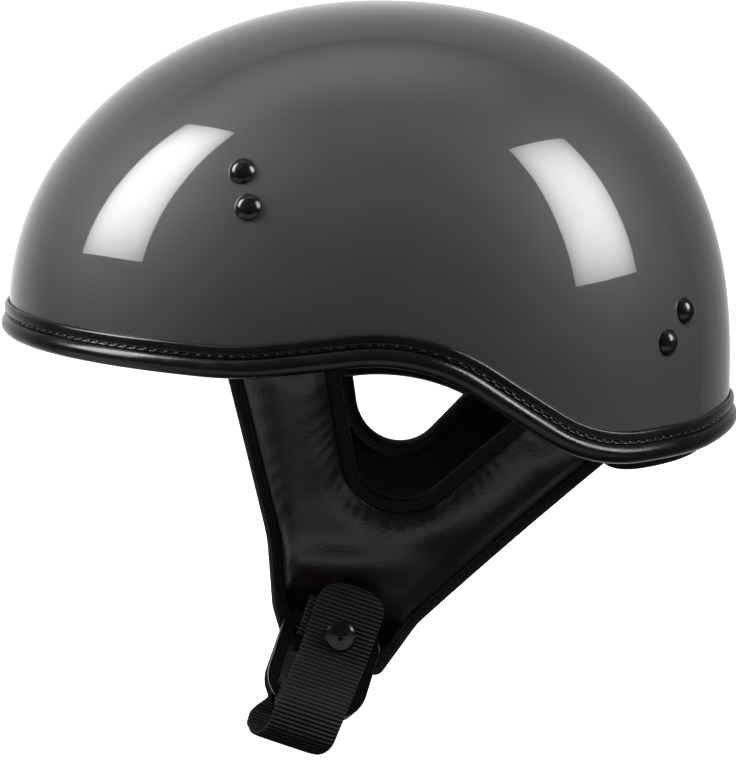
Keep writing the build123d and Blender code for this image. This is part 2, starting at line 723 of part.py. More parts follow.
def ribbon(points, radii, shift=STRAP_SHIFT, width=WEB_WIDTH, thickness=WEB_THICKNESS):
    """Band of webbing along a path in the strap plane, extruded across its width."""
    start = Plane(harness_origin + strap_across * (shift + width / 2), x_dir=strap_plane.x_dir,
                  z_dir=strap_plane.z_dir)
    with BuildPart() as band:
        with BuildSketch(start):
            with BuildLine() as path:
                FilletPolyline(*points, radius=radii)
            trace(path.line, line_width=thickness)
        extrude(amount=width)
    return band.part


# Places of the D-rings in the strap plane
tilt = radians(RING_TILT)
bow_start = RING_HEIGHT - RING_BAR
wrap = RING_THICKNESS / 2 + STRAP_GAP + WEB_THICKNESS / 2
lay = WEB_THICKNESS + STRAP_GAP


def upper_ring_place(down, outward):
    """Place beside the upper ring: down from its top edge, and out from its middle plane."""
    run = down - RING_BAR / 2
    across = RING_BAR_OUT + run * sin(tilt) + outward * cos(tilt)
    return Vector(across, -run * cos(tilt) + outward * sin(tilt))


def lower_ring_place(down, outward):
    """Place beside the lower ring, which hangs straight behind the upper one."""
    lower_out = RING_BAR_OUT - RING_THICKNESS - RING_GAP
    return Vector(lower_out + outward, RING_BAR / 2 - RING_STAGGER - down)


# Short strap: from the pocket, round both bars through the slots, and up again outside
strap_inner_out = lower_ring_place(0, -wrap - STRAP_GAP).X
strap_outer_out = RING_BAR_OUT + RING_THICKNESS / 2 + lay + WASHER_ROOM
loop_foot = lower_ring_place(RING_BAR, 0).Y - SHORT_LOOP_SLACK - WEB_THICKNESS / 2
bend_share, foot_share = SHORT_BEND_SHARES
short_path = [(cover_out(SHORT_STRAP_TOP, web_centre), SHORT_STRAP_TOP - STRAP_GAP),
              (cover_out(JAW_SEAM * bend_share, web_centre), JAW_SEAM * bend_share),
              (strap_inner_out, JAW_SEAM * foot_share), (strap_inner_out, loop_foot),
              (strap_outer_out, loop_foot), (strap_outer_out, SHORT_STRAP_END)]
short_radii = [JAW_SEAM, RING_BAR, SHORT_LOOP_RADIUS, SHORT_LOOP_RADIUS]

# Long strap's root, out of the right cover's jaw
root_foot = COVER_HEIGHT * COVER_FOOT_SHARE - ROOT_DROP
root_out = cover_out(root_foot, web_centre)
root_bend = SHORT_STRAP_TOP * ROOT_BEND_SHARE
root_path = [(-cover_out(SHORT_STRAP_TOP, web_centre), SHORT_STRAP_TOP - STRAP_GAP),
             (-cover_out(root_bend, web_centre), root_bend), (-root_out, root_foot)]
root_radii = [face_radius / 2]

# Lining pad against the cheek, with the pocket for the webbing
pocket_room = WEB_THICKNESS + 2 * POCKET_CLEARANCE
pockets = []
for place in leg_places.values():
    pocket_strip = leg_outline(place, joint_place, WEB_WIDTH + 2 * SEAM_CLEARANCE)
    pockets.append(cover_piece(web_depth - POCKET_CLEARANCE, pocket_room, pocket_strip))
lining_block = cover_piece(web_depth, pad_thickness, inner_outline)
with BuildPart() as lining_build:
    add(lining_block)
    for pocket in pockets:
        add(pocket, mode=Mode.SUBTRACT)
lining = lining_build.part

# Knitted bindings: one round the front, jaw and rear edges, one along the V
bindings = cover_piece(BINDING_SINK, LINING_DEPTH - 2 * BINDING_SINK, binding_sketch.sketch).solids()
bindings = bindings.sort_by(SortBy.VOLUME)
outer_binding = single(bindings[-1])
notch_binding = single(bindings[0])

# Both covers, each with a pocket for its own strap
slot_size = {"width": WEB_WIDTH + 2 * SEAM_CLEARANCE, "thickness": pocket_room}
slot_head = Vector(0, SEAM_CLEARANCE)
short_slot = ribbon([Vector(*short_path[0]) + slot_head] + short_path[1:], short_radii, **slot_size)
root_slot = ribbon([Vector(*root_path[0]) + slot_head] + root_path[1:], root_radii, **slot_size)
cover_pieces = {"ear_cover": ear_cover, "jaw_pad": jaw_pad, "cover_lining": lining,
                "front_leg_web": front_leg, "rear_leg_web": rear_leg,
                "cover_binding": outer_binding, "notch_binding": notch_binding}
for name, piece in cover_pieces.items():
    for side_name, slot, own in (("left", short_slot, piece), ("right", root_slot, mirrored(piece))):
        with BuildPart() as fitted:
            add(own)
            if name in ("ear_cover", "jaw_pad", "cover_lining", "cover_binding"):
                add(slot, mode=Mode.SUBTRACT)
        export(single(fitted.part.solids().sort_by(SortBy.VOLUME)[-1]), f"{name}_{side_name}")

# Anchor webbing: under its rivets against the shell's wall, then down to the head of its leg
for row in rivet_rows:
    with BuildPart() as wall_run:
        add(web_dome)
        add(web_inner, mode=Mode.SUBTRACT)
        with BuildSketch(Plane.XZ):
            with BuildLine():
                Polyline(*web_outline(row, 0), close=True)
            make_face()
        extrude(amount=2 * SIDE_REACH, mode=Mode.INTERSECT)
        add(left_bores, mode=Mode.SUBTRACT)
    upper_run = brim_cut(wall_run.part, WEB_LEAVES_LIFT)
    lower_run = anchor_bend(row)
    with BuildPart() as anchor_web:
        add(upper_run)
        add(lower_run)
    export(anchor_web.part, f"{row}_anchor_web_left")
    export(mirrored(anchor_web.part), f"{row}_anchor_web_right")


def ring_sketch():
    """Face of a D-ring, with its top edge on the x axis."""
    slot_width = RING_WIDTH - 2 * RING_SIDE_BAR
    opening_top = RING_BAR + RING_SLOT + RING_CROSSBAR
    opening_height = bow_start - opening_top
    with BuildSketch() as face:
        with Locations((0, -RING_HEIGHT / 2)):
            Rectangle(RING_WIDTH, RING_HEIGHT)
        fillet(face.vertices().group_by(Axis.Y)[-1], radius=RING_TOP_RADIUS)
        fillet(face.vertices().group_by(Axis.Y)[0], radius=RING_BOW_RADIUS)
        with BuildSketch(mode=Mode.SUBTRACT) as slot:
            with Locations((0, -RING_BAR - RING_SLOT / 2)):
                RectangleRounded(slot_width, RING_SLOT, RING_SLOT_RADIUS)
        with BuildSketch(mode=Mode.SUBTRACT) as opening:
            with Locations((0, -opening_top - opening_height / 2)):
                Rectangle(slot_width, opening_height)
            fillet(opening.vertices().group_by(Axis.Y)[-1], radius=RING_SLOT_RADIUS)
            fillet(opening.vertices().group_by(Axis.Y)[0], radius=RING_OPENING_RADIUS)
    return face.sketch


def ring_part(place, turn):
    """Stamped ring hung at a place of the strap plane, its bow turned out by an angle."""
    origin = strap_plane.from_local_coords(place(0, 0)) + strap_across * STRAP_SHIFT
    down = strap_plane.from_local_coords(place(1, 0)) - strap_plane.from_local_coords(place(0, 0))
    face_plane = Plane(origin, x_dir=strap_across, z_dir=strap_across.cross(-down))
    face = ring_sketch()
    with BuildPart() as ring:
        with BuildSketch(face_plane):
            add(face)
        extrude(amount=RING_THICKNESS / 2, both=True)
        flats = ring.faces().filter_by(Axis(origin, face_plane.z_dir))
        chamfer(flats.edges(), length=RING_EDGE_BREAK)
    return ring.part


export(ring_part(upper_ring_place, tilt), "upper_ring")
export(ring_part(lower_ring_place, 0), "lower_ring")


# Short strap and long strap root
export(ribbon(short_path, short_radii), "short_strap")
export(ribbon(root_path, root_radii), "long_strap_root")

# Snap stud on the short strap's outer layer, with its back washer inside the loop
stud_base = strap_outer_out + WEB_THICKNESS / 2 + STRAP_GAP / 3
snap_axis = Plane(harness_origin + Vector(0, -stud_base, 0), x_dir=strap_across, z_dir=(0, -1, 0))
washer_level = -WEB_THICKNESS - BACK_WASHER_THICKNESS - 2 * STRAP_GAP / 3
with BuildPart() as snap_stud:
    with BuildSketch(snap_axis):
        Circle(STUD_DIAMETER / 2)
    extrude(amount=STUD_FLANGE)
    with BuildSketch(snap_axis):
        Circle(STUD_POST_DIAMETER / 2)
    extrude(amount=STUD_FLANGE + STUD_POST_HEIGHT)
    fillet(snap_stud.faces().sort_by(Axis.Y)[0].edges(), radius=STUD_FLANGE / 2)
    with BuildSketch(snap_axis.offset(washer_level)):
        Circle(STUD_DIAMETER / 2)
    extrude(amount=BACK_WASHER_THICKNESS)
export(snap_stud.part, "snap_stud")

# Chin strap: across under the chin, up inside both rings, round the upper bow and down as the tail
tail_out = RING_BAR_OUT + TAIL_SWELL
fold_line = tail_out - FOLD_OUT
ring_places = {"upper": upper_ring_place, "lower": lower_ring_place}
chin_path = [(-root_out, root_foot - PIVOT_GAP)]
chin_path += [(across * root_out, -up * CHIN_DROP) for across, up in CHIN_CURVE_SHARES]
for ring, down, outward in WEAVE_SHARES:
    chin_path.append(ring_places[ring](RING_HEIGHT + down * wrap, outward * wrap))
chin_path += [(fold_line - TAIL_FOLD_RADIUS, -TAIL_DROP), (fold_line, -TAIL_DROP)]
chin_radii = [share * CHIN_DROP for share in CHIN_RADIUS_SHARES]
chin_radii += [share * wrap for share in WEAVE_RADIUS_SHARES]
export(ribbon(chin_path, chin_radii), "chin_strap")

# Strap tail: from the fold up over the rings to its round end, snapped to the short strap
socket_base = stud_base + STUD_FLANGE + SNAP_CLEARANCE
tail_lay_out = socket_base + SOCKET_THICKNESS + STRAP_GAP / 3 + WEB_THICKNESS / 2
low_share, high_share = TAIL_BEND_SHARES
tail_path = [(fold_line + FOLD_GAP, -TAIL_DROP), (tail_out, -TAIL_DROP), (tail_out, -TAIL_DROP * low_share),
             (tail_lay_out, -SNAP_DIAMETER * high_share), (tail_lay_out, TAIL_TOP)]
tail_radii = [TAIL_FOLD_RADIUS, TAIL_EASE_RADIUS, TAIL_EASE_RADIUS]
tail_band = ribbon(tail_path, tail_radii, shift=0, width=2 * WEB_WIDTH)
tail_bottom = -TAIL_DROP - WEB_THICKNESS
with BuildPart() as strap_tail:
    add(tail_band)
    with BuildSketch(side_plane) as tail_side:
        with BuildLine():
            Polyline((-WEB_WIDTH / 2, TAIL_TOP + WEB_THICKNESS), (-WEB_WIDTH / 2, 0),
                     (STRAP_SHIFT - WEB_WIDTH / 2, tail_bottom), (STRAP_SHIFT + WEB_WIDTH / 2, tail_bottom),
                     (WEB_WIDTH / 2, 0), (WEB_WIDTH / 2, TAIL_TOP + WEB_THICKNESS), close=True)
        make_face()
        fillet(tail_side.vertices().group_by(Axis.Y)[-1], radius=TAIL_CORNER_RADIUS)
    extrude(amount=2 * SIDE_REACH, mode=Mode.INTERSECT)
    with BuildSketch(snap_axis):
        Circle(STUD_POST_DIAMETER / 2 + SNAP_PLAY)
    extrude(amount=OVERRUN, mode=Mode.SUBTRACT)
export(strap_tail.part, "strap_tail")

# Snap socket under the tail and its cap outside, with a shank through the webbing
with BuildPart() as snap_socket:
    with BuildSketch(snap_axis.offset(STUD_FLANGE + SNAP_CLEARANCE)):
        Circle(SOCKET_DIAMETER / 2)
        Circle(STUD_POST_DIAMETER / 2 + SNAP_PLAY, mode=Mode.SUBTRACT)
    extrude(amount=SOCKET_THICKNESS)
export(snap_socket.part, "snap_socket")
cap_base = tail_lay_out + WEB_THICKNESS / 2 + STRAP_GAP / 3
cap_plane = Plane(harness_origin + Vector(0, -cap_base, 0), x_dir=strap_across, z_dir=-harness_up)
with BuildPart() as snap_cap:
    with BuildSketch(cap_plane):
        with BuildLine():
            cap_edge = [(across * SNAP_DIAMETER / 2, up * SNAP_CAP_HEIGHT) for across, up in SNAP_CAP_SHARES]
            dimple_edge = (SNAP_DIMPLE_RADIUS, SNAP_CAP_HEIGHT)
            dimple_foot = (0, SNAP_CAP_HEIGHT - SNAP_DIMPLE_DEPTH)
            Polyline(dimple_foot, (0, -WEB_THICKNESS), (STUD_POST_DIAMETER / 2, -WEB_THICKNESS),
                     (STUD_POST_DIAMETER / 2, 0), *cap_edge, dimple_edge, dimple_foot)
        make_face()
    revolve(axis=Axis(cap_plane.origin, cap_plane.y_dir))
export(snap_cap.part, "snap_cap")

# Release tab, looped round the upper ring's crossbar
tab_gap = RING_THICKNESS / 2 + STRAP_GAP + TAB_THICKNESS / 2
crossbar_top = RING_BAR + RING_SLOT
tab_top = crossbar_top - STRAP_GAP / 2 - TAB_THICKNESS / 2
tab_path = [upper_ring_place(crossbar_top + TAB_LENGTH, tab_gap), upper_ring_place(tab_top, tab_gap),
            upper_ring_place(tab_top, -tab_gap),
            upper_ring_place(crossbar_top + TAB_LENGTH, -tab_gap)]
tab_radii = [TAB_THICKNESS, TAB_THICKNESS]
export(ribbon(tab_path, tab_radii, width=TAB_WIDTH, thickness=TAB_THICKNESS), "release_tab")
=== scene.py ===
"""Dresses a half shell motorcycle helmet: shell, stitched trim, padded ear covers, ribbed webbing and D-rings.

Sizes are in millimetres in the helmet's own frame: the front faces -X, the wearer's left is -Y, and +Z is up.
"""
import logging
from dataclasses import dataclass
from enum import Enum
from typing import Any, Callable, Sequence

import bpy
import numpy as np
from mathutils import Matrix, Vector


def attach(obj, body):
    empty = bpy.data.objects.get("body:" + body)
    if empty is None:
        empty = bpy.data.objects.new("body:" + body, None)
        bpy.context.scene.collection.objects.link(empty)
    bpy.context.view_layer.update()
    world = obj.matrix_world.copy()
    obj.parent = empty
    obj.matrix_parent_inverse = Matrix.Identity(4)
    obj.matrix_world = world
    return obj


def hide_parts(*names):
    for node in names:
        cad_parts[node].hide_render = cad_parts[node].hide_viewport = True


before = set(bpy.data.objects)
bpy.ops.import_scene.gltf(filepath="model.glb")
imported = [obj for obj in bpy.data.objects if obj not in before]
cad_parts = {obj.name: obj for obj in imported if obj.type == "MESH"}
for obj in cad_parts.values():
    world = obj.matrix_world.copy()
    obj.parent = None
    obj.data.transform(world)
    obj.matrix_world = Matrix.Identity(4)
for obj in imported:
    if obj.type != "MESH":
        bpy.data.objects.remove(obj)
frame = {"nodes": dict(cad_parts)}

LOG = logging.getLogger("helmet")
MM = 0.001
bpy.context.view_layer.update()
Points = np.ndarray
Colour = tuple[float, float, float]
Pairs = tuple[tuple[float, float], ...]
BLACK, WHITE, WARM = (0.0, 0.0, 0.0), (1.0, 1.0, 1.0), (1.0, 0.93, 0.86)


class Side(Enum):
    """Side of the wearer, with the sign of its Y."""

    LEFT = -1
    RIGHT = 1

    @property
    def word(self) -> str:
        """Word that the node names of this side end in."""
        return self.name.lower()

    def mirrored(self, points: Points) -> Points:
        """Points on the wearer's left, or their mirror image on the right."""
        return points * np.array([1.0, -self.value, 1.0])


class Quilt(Enum):
    """Which way a panel's crowned face looks."""

    OUT = 1
    IN = -1


class Form(Enum):
    """How a grid of points closes: not at all, into a tube with capped ends, or into a ring."""

    SHEET = "sheet"
    TUBE = "tube"
    RING = "ring"


class Fade(Enum):
    """How a panel's light falls off from its middle."""

    SOFTBOX = "softbox"
    GLOW = "glow"
    FAR = "far"


@dataclass
class Value:
    """A shader socket that arithmetic can be written on."""

    graph: "Graph"
    socket: Any

    def math(self, operation: str, *others: Any) -> "Value":
        """Result of a Math node on this value and others, which may be numbers."""
        return self.graph.node("ShaderNodeMath", {"operation": operation}, dict(enumerate((self, *others))))

    def __add__(self, other: Any) -> "Value":
        """Sum."""
        return self.math("ADD", other)

    def __sub__(self, other: Any) -> "Value":
        """Difference."""
        return self.math("SUBTRACT", other)

    def __mul__(self, other: Any) -> "Value":
        """Product."""
        return self.math("MULTIPLY", other)

    def __truediv__(self, other: Any) -> "Value":
        """Quotient."""
        return self.math("DIVIDE", other)

    def __rsub__(self, other: Any) -> "Value":
        """Number minus this value."""
        return self.math("MULTIPLY", -1.0).math("ADD", other)

    __radd__ = __add__
    __rmul__ = __mul__

    def power(self, exponent: float) -> "Value":
        """This value raised to an exponent."""
        return self.math("POWER", exponent)

    def sine(self) -> "Value":
        """Sine of this value in radians."""
        return self.math("SINE")

    def absolute(self) -> "Value":
        """Size of this value without its sign."""
        return self.math("ABSOLUTE")

    def mapped(self, low: float, high: float, to_low: float = 0.0, to_high: float = 1.0) -> "Value":
        """This value smoothly carried from the range low to high onto the range to_low to to_high."""
        inputs = {"Value": self, "From Min": low, "From Max": high, "To Min": to_low, "To Max": to_high}
        return self.graph.node("ShaderNodeMapRange", {"interpolation_type": "SMOOTHSTEP"}, inputs)


class Graph:
    """Node tree of one material."""

    def __init__(self, name: str) -> None:
        """Starts an empty material."""
        self.material = bpy.data.materials.new(name)
        self.material.use_nodes = True
        self.tree = self.material.node_tree
        self.tree.nodes.clear()

    def node(self, kind: str, settings: dict[str, Any] | None = None, inputs: dict[Any, Any] | None = None,
             output: Any = 0) -> Value:
        """Adds any node.

        Args:
            kind: Blender's type name of the node.
            settings: Properties set first.
            inputs: Values or links of its sockets, by name or number.
            output: Name or number of the socket to return.

        Returns:
            The chosen output.
        """
        made = self.tree.nodes.new(kind)
        for key, setting in (settings or {}).items():
            setattr(made, key, setting)
        for key, item in (inputs or {}).items():
            if isinstance(item, Value):
                self.tree.links.new(item.socket, made.inputs[key])
            else:
                made.inputs[key].default_value = item
        return Value(self, made.outputs[output])

    def split(self, vector: Value) -> list[Value]:
        """The three parts of a vector."""
        parts = self.node("ShaderNodeSeparateXYZ", None, {0: vector}).socket.node
        return [Value(self, socket) for socket in parts.outputs]

    def place(self) -> Value:
        """Object coordinates, in metres."""
        return self.node("ShaderNodeTexCoord", output="Object")

    def cloth_place(self) -> list[Value]:
        """The piece's own UV coordinates, which hold millimetres along and across it."""
        return self.split(self.node("ShaderNodeUVMap", {"uv_map": "cloth"}))[:2]

    def noise(self, scale: float, detail: float = 3.0, rough: float = 0.55) -> Value:
        """Soft noise on Object coordinates, from 0 to 1."""
        inputs = {"Vector": self.place(), "Scale": scale, "Detail": detail, "Roughness": rough}
        return self.node("ShaderNodeTexNoise", None, inputs, "Fac")

    def cells(self, scale: float, smooth: float = 0.3) -> Value:
        """Distance to the nearest of many scattered points, as in leather grain."""
        inputs = {"Vector": self.place(), "Scale": scale, "Smoothness": smooth}
        return self.node("ShaderNodeTexVoronoi", {"feature": "SMOOTH_F1"}, inputs, "Distance")

    def tint(self, factor: Value, low: Colour, high: Colour) -> Value:
        """Colour between two by a factor."""
        return self.node("ShaderNodeMix", {"data_type": "RGBA"}, {0: factor, 6: (*low, 1.0), 7: (*high, 1.0)}, 2)

    def bump(self, height: Value, depth: float, strength: float = 1.0, below: Value | None = None) -> Value:
        """Normal of a height field of 0 to 1 that stands for a depth in metres, on top of another normal."""
        inputs = {"Height": height, "Distance": depth, "Strength": strength}
        return self.node("ShaderNodeBump", None, inputs if below is None else {**inputs, "Normal": below})

    def surface(self, colour: Any, rough: Any, gloss: float, more: dict[str, Any]) -> bpy.types.Material:
        """Closes the material with a Principled shader.

        Args:
            colour: Base colour.
            rough: Roughness.
            gloss: Specular level.
            more: Values or links of the shader's other sockets.

        Returns:
            The finished material.
        """
        inputs = {"Base Color": colour, "Roughness": rough, "Specular IOR Level": gloss, **more}
        shader = self.node("ShaderNodeBsdfPrincipled", None, inputs)
        output = self.tree.nodes.new("ShaderNodeOutputMaterial")
        self.tree.links.new(shader.socket, output.inputs["Surface"])
        return self.material


def times(colour: Colour, factor: float) -> Colour:
    """Colour made lighter or darker by a factor."""
    return tuple(channel * factor for channel in colour)


@dataclass(frozen=True)
class ShellPaint:
    """Grey paint under a deep clear coat."""

    colour: Colour = (0.0400, 0.0418, 0.0424)
    drift: float = 0.05
    roughness: float = 0.5
    coat_roughness: float = 0.02
    peel_scale: float = 55.0
    peel_depth: float = 0.00003

    def build(self) -> bpy.types.Material:
        """Paint that drifts a little in shade, under a coat with faint orange peel."""
        graph = Graph("shell_paint")
        drift = graph.noise(7.0).mapped(0.3, 0.7)
        colour = graph.tint(drift, times(self.colour, 1 - self.drift), times(self.colour, 1 + self.drift))
        peel = graph.bump(graph.noise(self.peel_scale, 1.0), self.peel_depth)
        rough = graph.noise(30.0).mapped(0.3, 0.7, self.roughness - 0.05, self.roughness + 0.05)
        return graph.surface(colour, rough, 0.25, {"Coat Weight": 1.0, "Coat Roughness": self.coat_roughness,
                                                   "Coat IOR": 1.5, "Coat Normal": peel})


@dataclass(frozen=True)
class Vinyl:
    """Soft black vinyl of the edge trim, with a fine grain and uneven polish."""

    name: str = "trim_vinyl"
    colour: Colour = (0.0042, 0.0042, 0.0044)
    roughness: float = 0.19
    gloss: float = 0.36
    grain_scale: float = 1300.0
    grain_depth: float = 0.00003

    def build(self) -> bpy.types.Material:
        """Builds the material."""
        graph = Graph(self.name)
        polish = graph.noise(90.0).mapped(0.3, 0.7, self.roughness - 0.06, self.roughness + 0.08)
        height = graph.cells(self.grain_scale) + graph.noise(60.0) * 0.6
        colour = graph.tint(graph.noise(40.0), self.colour, times(self.colour, 1.5))
        return graph.surface(colour, polish, self.gloss, {"Normal": graph.bump(height, self.grain_depth)})


@dataclass(frozen=True)
class Leatherette:
    """Soft black leatherette with a pebbled grain and small creases."""

    colour: Colour = (0.0062, 0.0050, 0.0042)
    grain_scale: float = 900.0
    grain_depth: float = 0.00006
    crease_depth: float = 0.00018

    def build(self) -> bpy.types.Material:
        """Builds the material of the ear covers' faces."""
        graph = Graph("leatherette")
        grain = graph.cells(self.grain_scale, 0.5)
        worn = graph.noise(25.0).mapped(0.35, 0.7)
        creased = graph.bump(graph.noise(62.0, 4.0, 0.6), self.crease_depth, 0.5)
        return graph.surface(graph.tint(worn, self.colour, times(self.colour, 1.9)),
                             worn * 0.08 + grain * 0.10 + 0.25, 0.62,
                             {"Sheen Weight": 0.02, "Sheen Roughness": 0.4,
                              "Normal": graph.bump(grain, self.grain_depth, 0.9, creased)})


@dataclass(frozen=True)
class Knit:
    """Knitted binding tape with a chevron rib."""

    colour: Colour = (0.0042, 0.0039, 0.0037)
    # The lighter colour is the loops' painted highlight.
    light: Colour = (0.0300, 0.0285, 0.0272)
    pitch: float = 1.25
    slant: float = 0.9
    depth: float = 0.00035

    def build(self) -> bpy.types.Material:
        """Slanted loops that turn about the middle of each wale, lighter on the loops as a painted highlight and
        darker in the grooves as painted shade.
        """
        graph = Graph("knit_binding")
        along, across = graph.cloth_place()
        from_middle = ((across / (2 * self.pitch)).math("FRACT") - 0.5).absolute()
        zigzag = from_middle * (2 * self.slant * self.pitch)
        loop = ((along + zigzag) * (2 * np.pi / self.pitch)).sine() * 0.5 + 0.5
        groove = from_middle.mapped(0.0, 0.22) * (1 - from_middle.mapped(0.36, 0.5))
        height = loop * 0.6 + groove * 0.5
        yarn = graph.noise(3500.0, 2.0)
        # Colour follows the knit's height: painted highlight on the loops and painted shade in the grooves, with
        # random yarn tone.
        colour = graph.tint(height * 0.8 + yarn * 0.2, self.colour, self.light)
        fuzz = graph.bump(yarn, 0.00005, 0.7)
        return graph.surface(colour, 0.85, 0.3, {"Sheen Weight": 0.03,
                                                 "Normal": graph.bump(height, self.depth, 1.0, fuzz)})


@dataclass(frozen=True)
class Webbing:
    """Ribbed polyester webbing: the ribs are in the mesh, and the yarn and the ribs' painted highlight and painted
    shade are here.
    """

    colour: Colour = (0.0032, 0.0031, 0.0031)
    # The lighter colour is reached on the rib tops, as a painted highlight.
    light: Colour = (0.0260, 0.0252, 0.0248)
    rib_pitch: float = 1.57
    yarn_pitch: float = 0.62
    depth: float = 0.00028

    def build(self) -> bpy.types.Material:
        """Colour that lifts on each rib's top as a painted highlight and darkens between ribs as painted shade, and
        yarn that runs along the strap.
        """
        graph = Graph("webbing")
        along, across = graph.cloth_place()
        rib = (along * (2 * np.pi / self.rib_pitch)).sine() * 0.5 + 0.5
        yarn = (across * (2 * np.pi / self.yarn_pitch) + along * 1.6).sine() * 0.5 + 0.5
        fleck = graph.noise(2200.0, 2.0)
        # Painted highlight on the rib tops and painted shade in the grooves between them, with yarn and fleck tone.
        shade = rib.power(3.5) * 0.75 + yarn * 0.1 + fleck * 0.15
        height = rib * 0.75 + yarn * 0.25 + fleck * 0.15
        return graph.surface(graph.tint(shade, self.colour, self.light), 0.62 - rib * 0.12, 0.22,
                             {"Sheen Weight": 0.02, "Sheen Roughness": 0.45,
                              "Normal": graph.bump(height, self.depth, 0.9)})


@dataclass(frozen=True)
class Cloth:
    """Plain woven or brushed cloth of the lining and pads."""

    name: str
    colour: Colour
    light: Colour
    thread: float = 0.8

    def build(self) -> bpy.types.Material:
        """Square weave on turned Object coordinates."""
        graph = Graph(self.name)
        turned = graph.node("ShaderNodeMapping", None, {"Vector": graph.place(), "Rotation": (0.5, 0.35, 0.6)})
        first, _, second = graph.split(turned)
        scale = 2 * np.pi / (self.thread * MM)
        weave = (first * scale).sine() * (second * scale).sine() * 0.5 + 0.5
        colour = graph.tint(weave * 0.5 + graph.noise(20.0) * 0.5, self.colour, self.light)
        height = weave * 0.5 + graph.noise(1500.0) * 0.5
        return graph.surface(colour, 0.92, 0.2, {"Sheen Weight": 0.03,
                                                 "Normal": graph.bump(height, 0.00015, 0.8)})


@dataclass(frozen=True)
class Foam:
    """Moulded black polystyrene with its beads just visible."""

    colour: Colour = (0.012, 0.012, 0.013)
    light: Colour = (0.028, 0.028, 0.030)
    bead_scale: float = 320.0

    def build(self) -> bpy.types.Material:
        """Builds the material of the liner."""
        graph = Graph("liner_foam")
        bead = graph.cells(self.bead_scale, 0.1)
        return graph.surface(graph.tint(bead, self.light, self.colour), 0.75, 0.5,
                             {"Normal": graph.bump(1 - bead, 0.0003, 0.6)})


@dataclass(frozen=True)
class DarkMetal:
    """Coated metal with softly rounded edges and light rubbing."""

    name: str
    colour: Colour
    roughness: float
    edge: float
    metallic: float = 0.0
    gloss: float = 0.5

    def build(self) -> bpy.types.Material:
        """Builds the material of rivets, rings or the snap."""
        graph = Graph(self.name)
        rub = graph.noise(420.0, 4.0)
        rounded = graph.node("ShaderNodeBevel", {"samples": 6}, {"Radius": self.edge})
        rough = rub.mapped(0.3, 0.75, self.roughness - 0.07, self.roughness + 0.1)
        return graph.surface(graph.tint(rub, self.colour, times(self.colour, 1.8)), rough, self.gloss,
                             {"Metallic": self.metallic, "Normal": graph.bump(rub, 0.00002, 0.5, rounded)})


class Look(Enum):
    """Every finish of the helmet: its recipe, and the name of the slot that it stands for."""

    PAINT = (ShellPaint(), "shell_paint")
    VINYL = (Vinyl(), "trim_vinyl")
    THREAD = (Vinyl("stitch_thread", (0.005, 0.005, 0.005), 0.26, 0.45), "trim_vinyl")
    LEATHER = (Leatherette(), "leatherette")
    KNIT = (Knit(), "knit_binding")
    WEBBING = (Webbing(), "webbing")
    LINING = (Cloth("liner_cloth", (0.0062, 0.0050, 0.0042), (0.0125, 0.0100, 0.0085)), "liner_fabric")
    JAW = (Cloth("jaw_cloth", (0.0045, 0.0042, 0.0040), (0.0110, 0.0102, 0.0096), 0.6), "jaw_fabric")
    FOAM = (Foam(), "foam")
    RIVET = (DarkMetal("rivet_black", (0.004, 0.004, 0.004), 0.2, 0.0003), "rivet_black")
    WASHER = (DarkMetal("washer_steel", (0.35, 0.35, 0.36), 0.35, 0.0002, 1.0), "washer_steel")
    RING = (DarkMetal("ring_black", (0.003, 0.003, 0.003), 0.13, 0.0005, 0.0, 0.22), "ring_black")
    SNAP = (DarkMetal("snap_black", (0.003, 0.003, 0.003), 0.12, 0.0003), "snap_black")
    TAB = (Cloth("tab_red", (0.30, 0.010, 0.012), (0.50, 0.02, 0.02), 0.7), "tab_red")


def unit(rows: Points) -> Points:
    """Rows of vectors scaled to length one."""
    return rows / np.maximum(np.linalg.norm(rows, axis=-1, keepdims=True), 1e-12)


def smoothstep(low: float, high: float, values: Points) -> Points:
    """Smooth step: 3t^2 - 2t^3 of the share t of the way from low to high."""
    share = np.clip((values - low) / (high - low), 0, 1)
    return share * share * (3 - 2 * share)


def circle(count: int) -> Points:
    """Evenly spaced angles once round."""
    return np.linspace(0, 2 * np.pi, count, endpoint=False)


def oval(count: int, power_x: float, power_y: float) -> list[Points]:
    """Superellipse of half size 1: x = sign(cos a) |cos a|^p and y = sign(sin a) |sin a|^q."""
    parts = (np.cos(circle(count)), power_x), (np.sin(circle(count)), power_y)
    return [np.sign(part) * np.abs(part) ** power for part, power in parts]


def round_trip(out: int, back: int) -> tuple[Points, Points]:
    """Shares from 0 to 1 and back again, and which of them lie on the way out."""
    share = np.concatenate([np.linspace(0, 1, out), np.linspace(1, 0, back)[1:-1]])
    return share, np.arange(len(share)) < out


def lengths(path: Points) -> Points:
    """Distance along a path to each of its points."""
    return np.concatenate([[0.0], np.cumsum(np.linalg.norm(np.diff(path, axis=0), axis=1))])


def sampled(steps: Points, path: Points, rows: Points) -> Points:
    """Rows of numbers at given distances along a path, by linear interpolation."""
    return np.stack([np.interp(steps, lengths(path), column) for column in rows.T], axis=1)


def evenly(path: Points, spacing: float = 0.6, count: int | None = None) -> Points:
    """Path with evenly spaced points, as many as the count or the spacing asks for."""
    total = lengths(path)[-1]
    return sampled(np.linspace(0, total, count or max(int(round(total / spacing)), 4) + 1), path, path)


def carried(place: Points, first: Points, second: Points, out: Points, rise: Points) -> Points:
    """Section carried along a line: P = C + x A + y B for each place C with its axes A and B."""
    return place[:, None] + first[:, None] * out[..., None] + second[:, None] * rise[..., None]


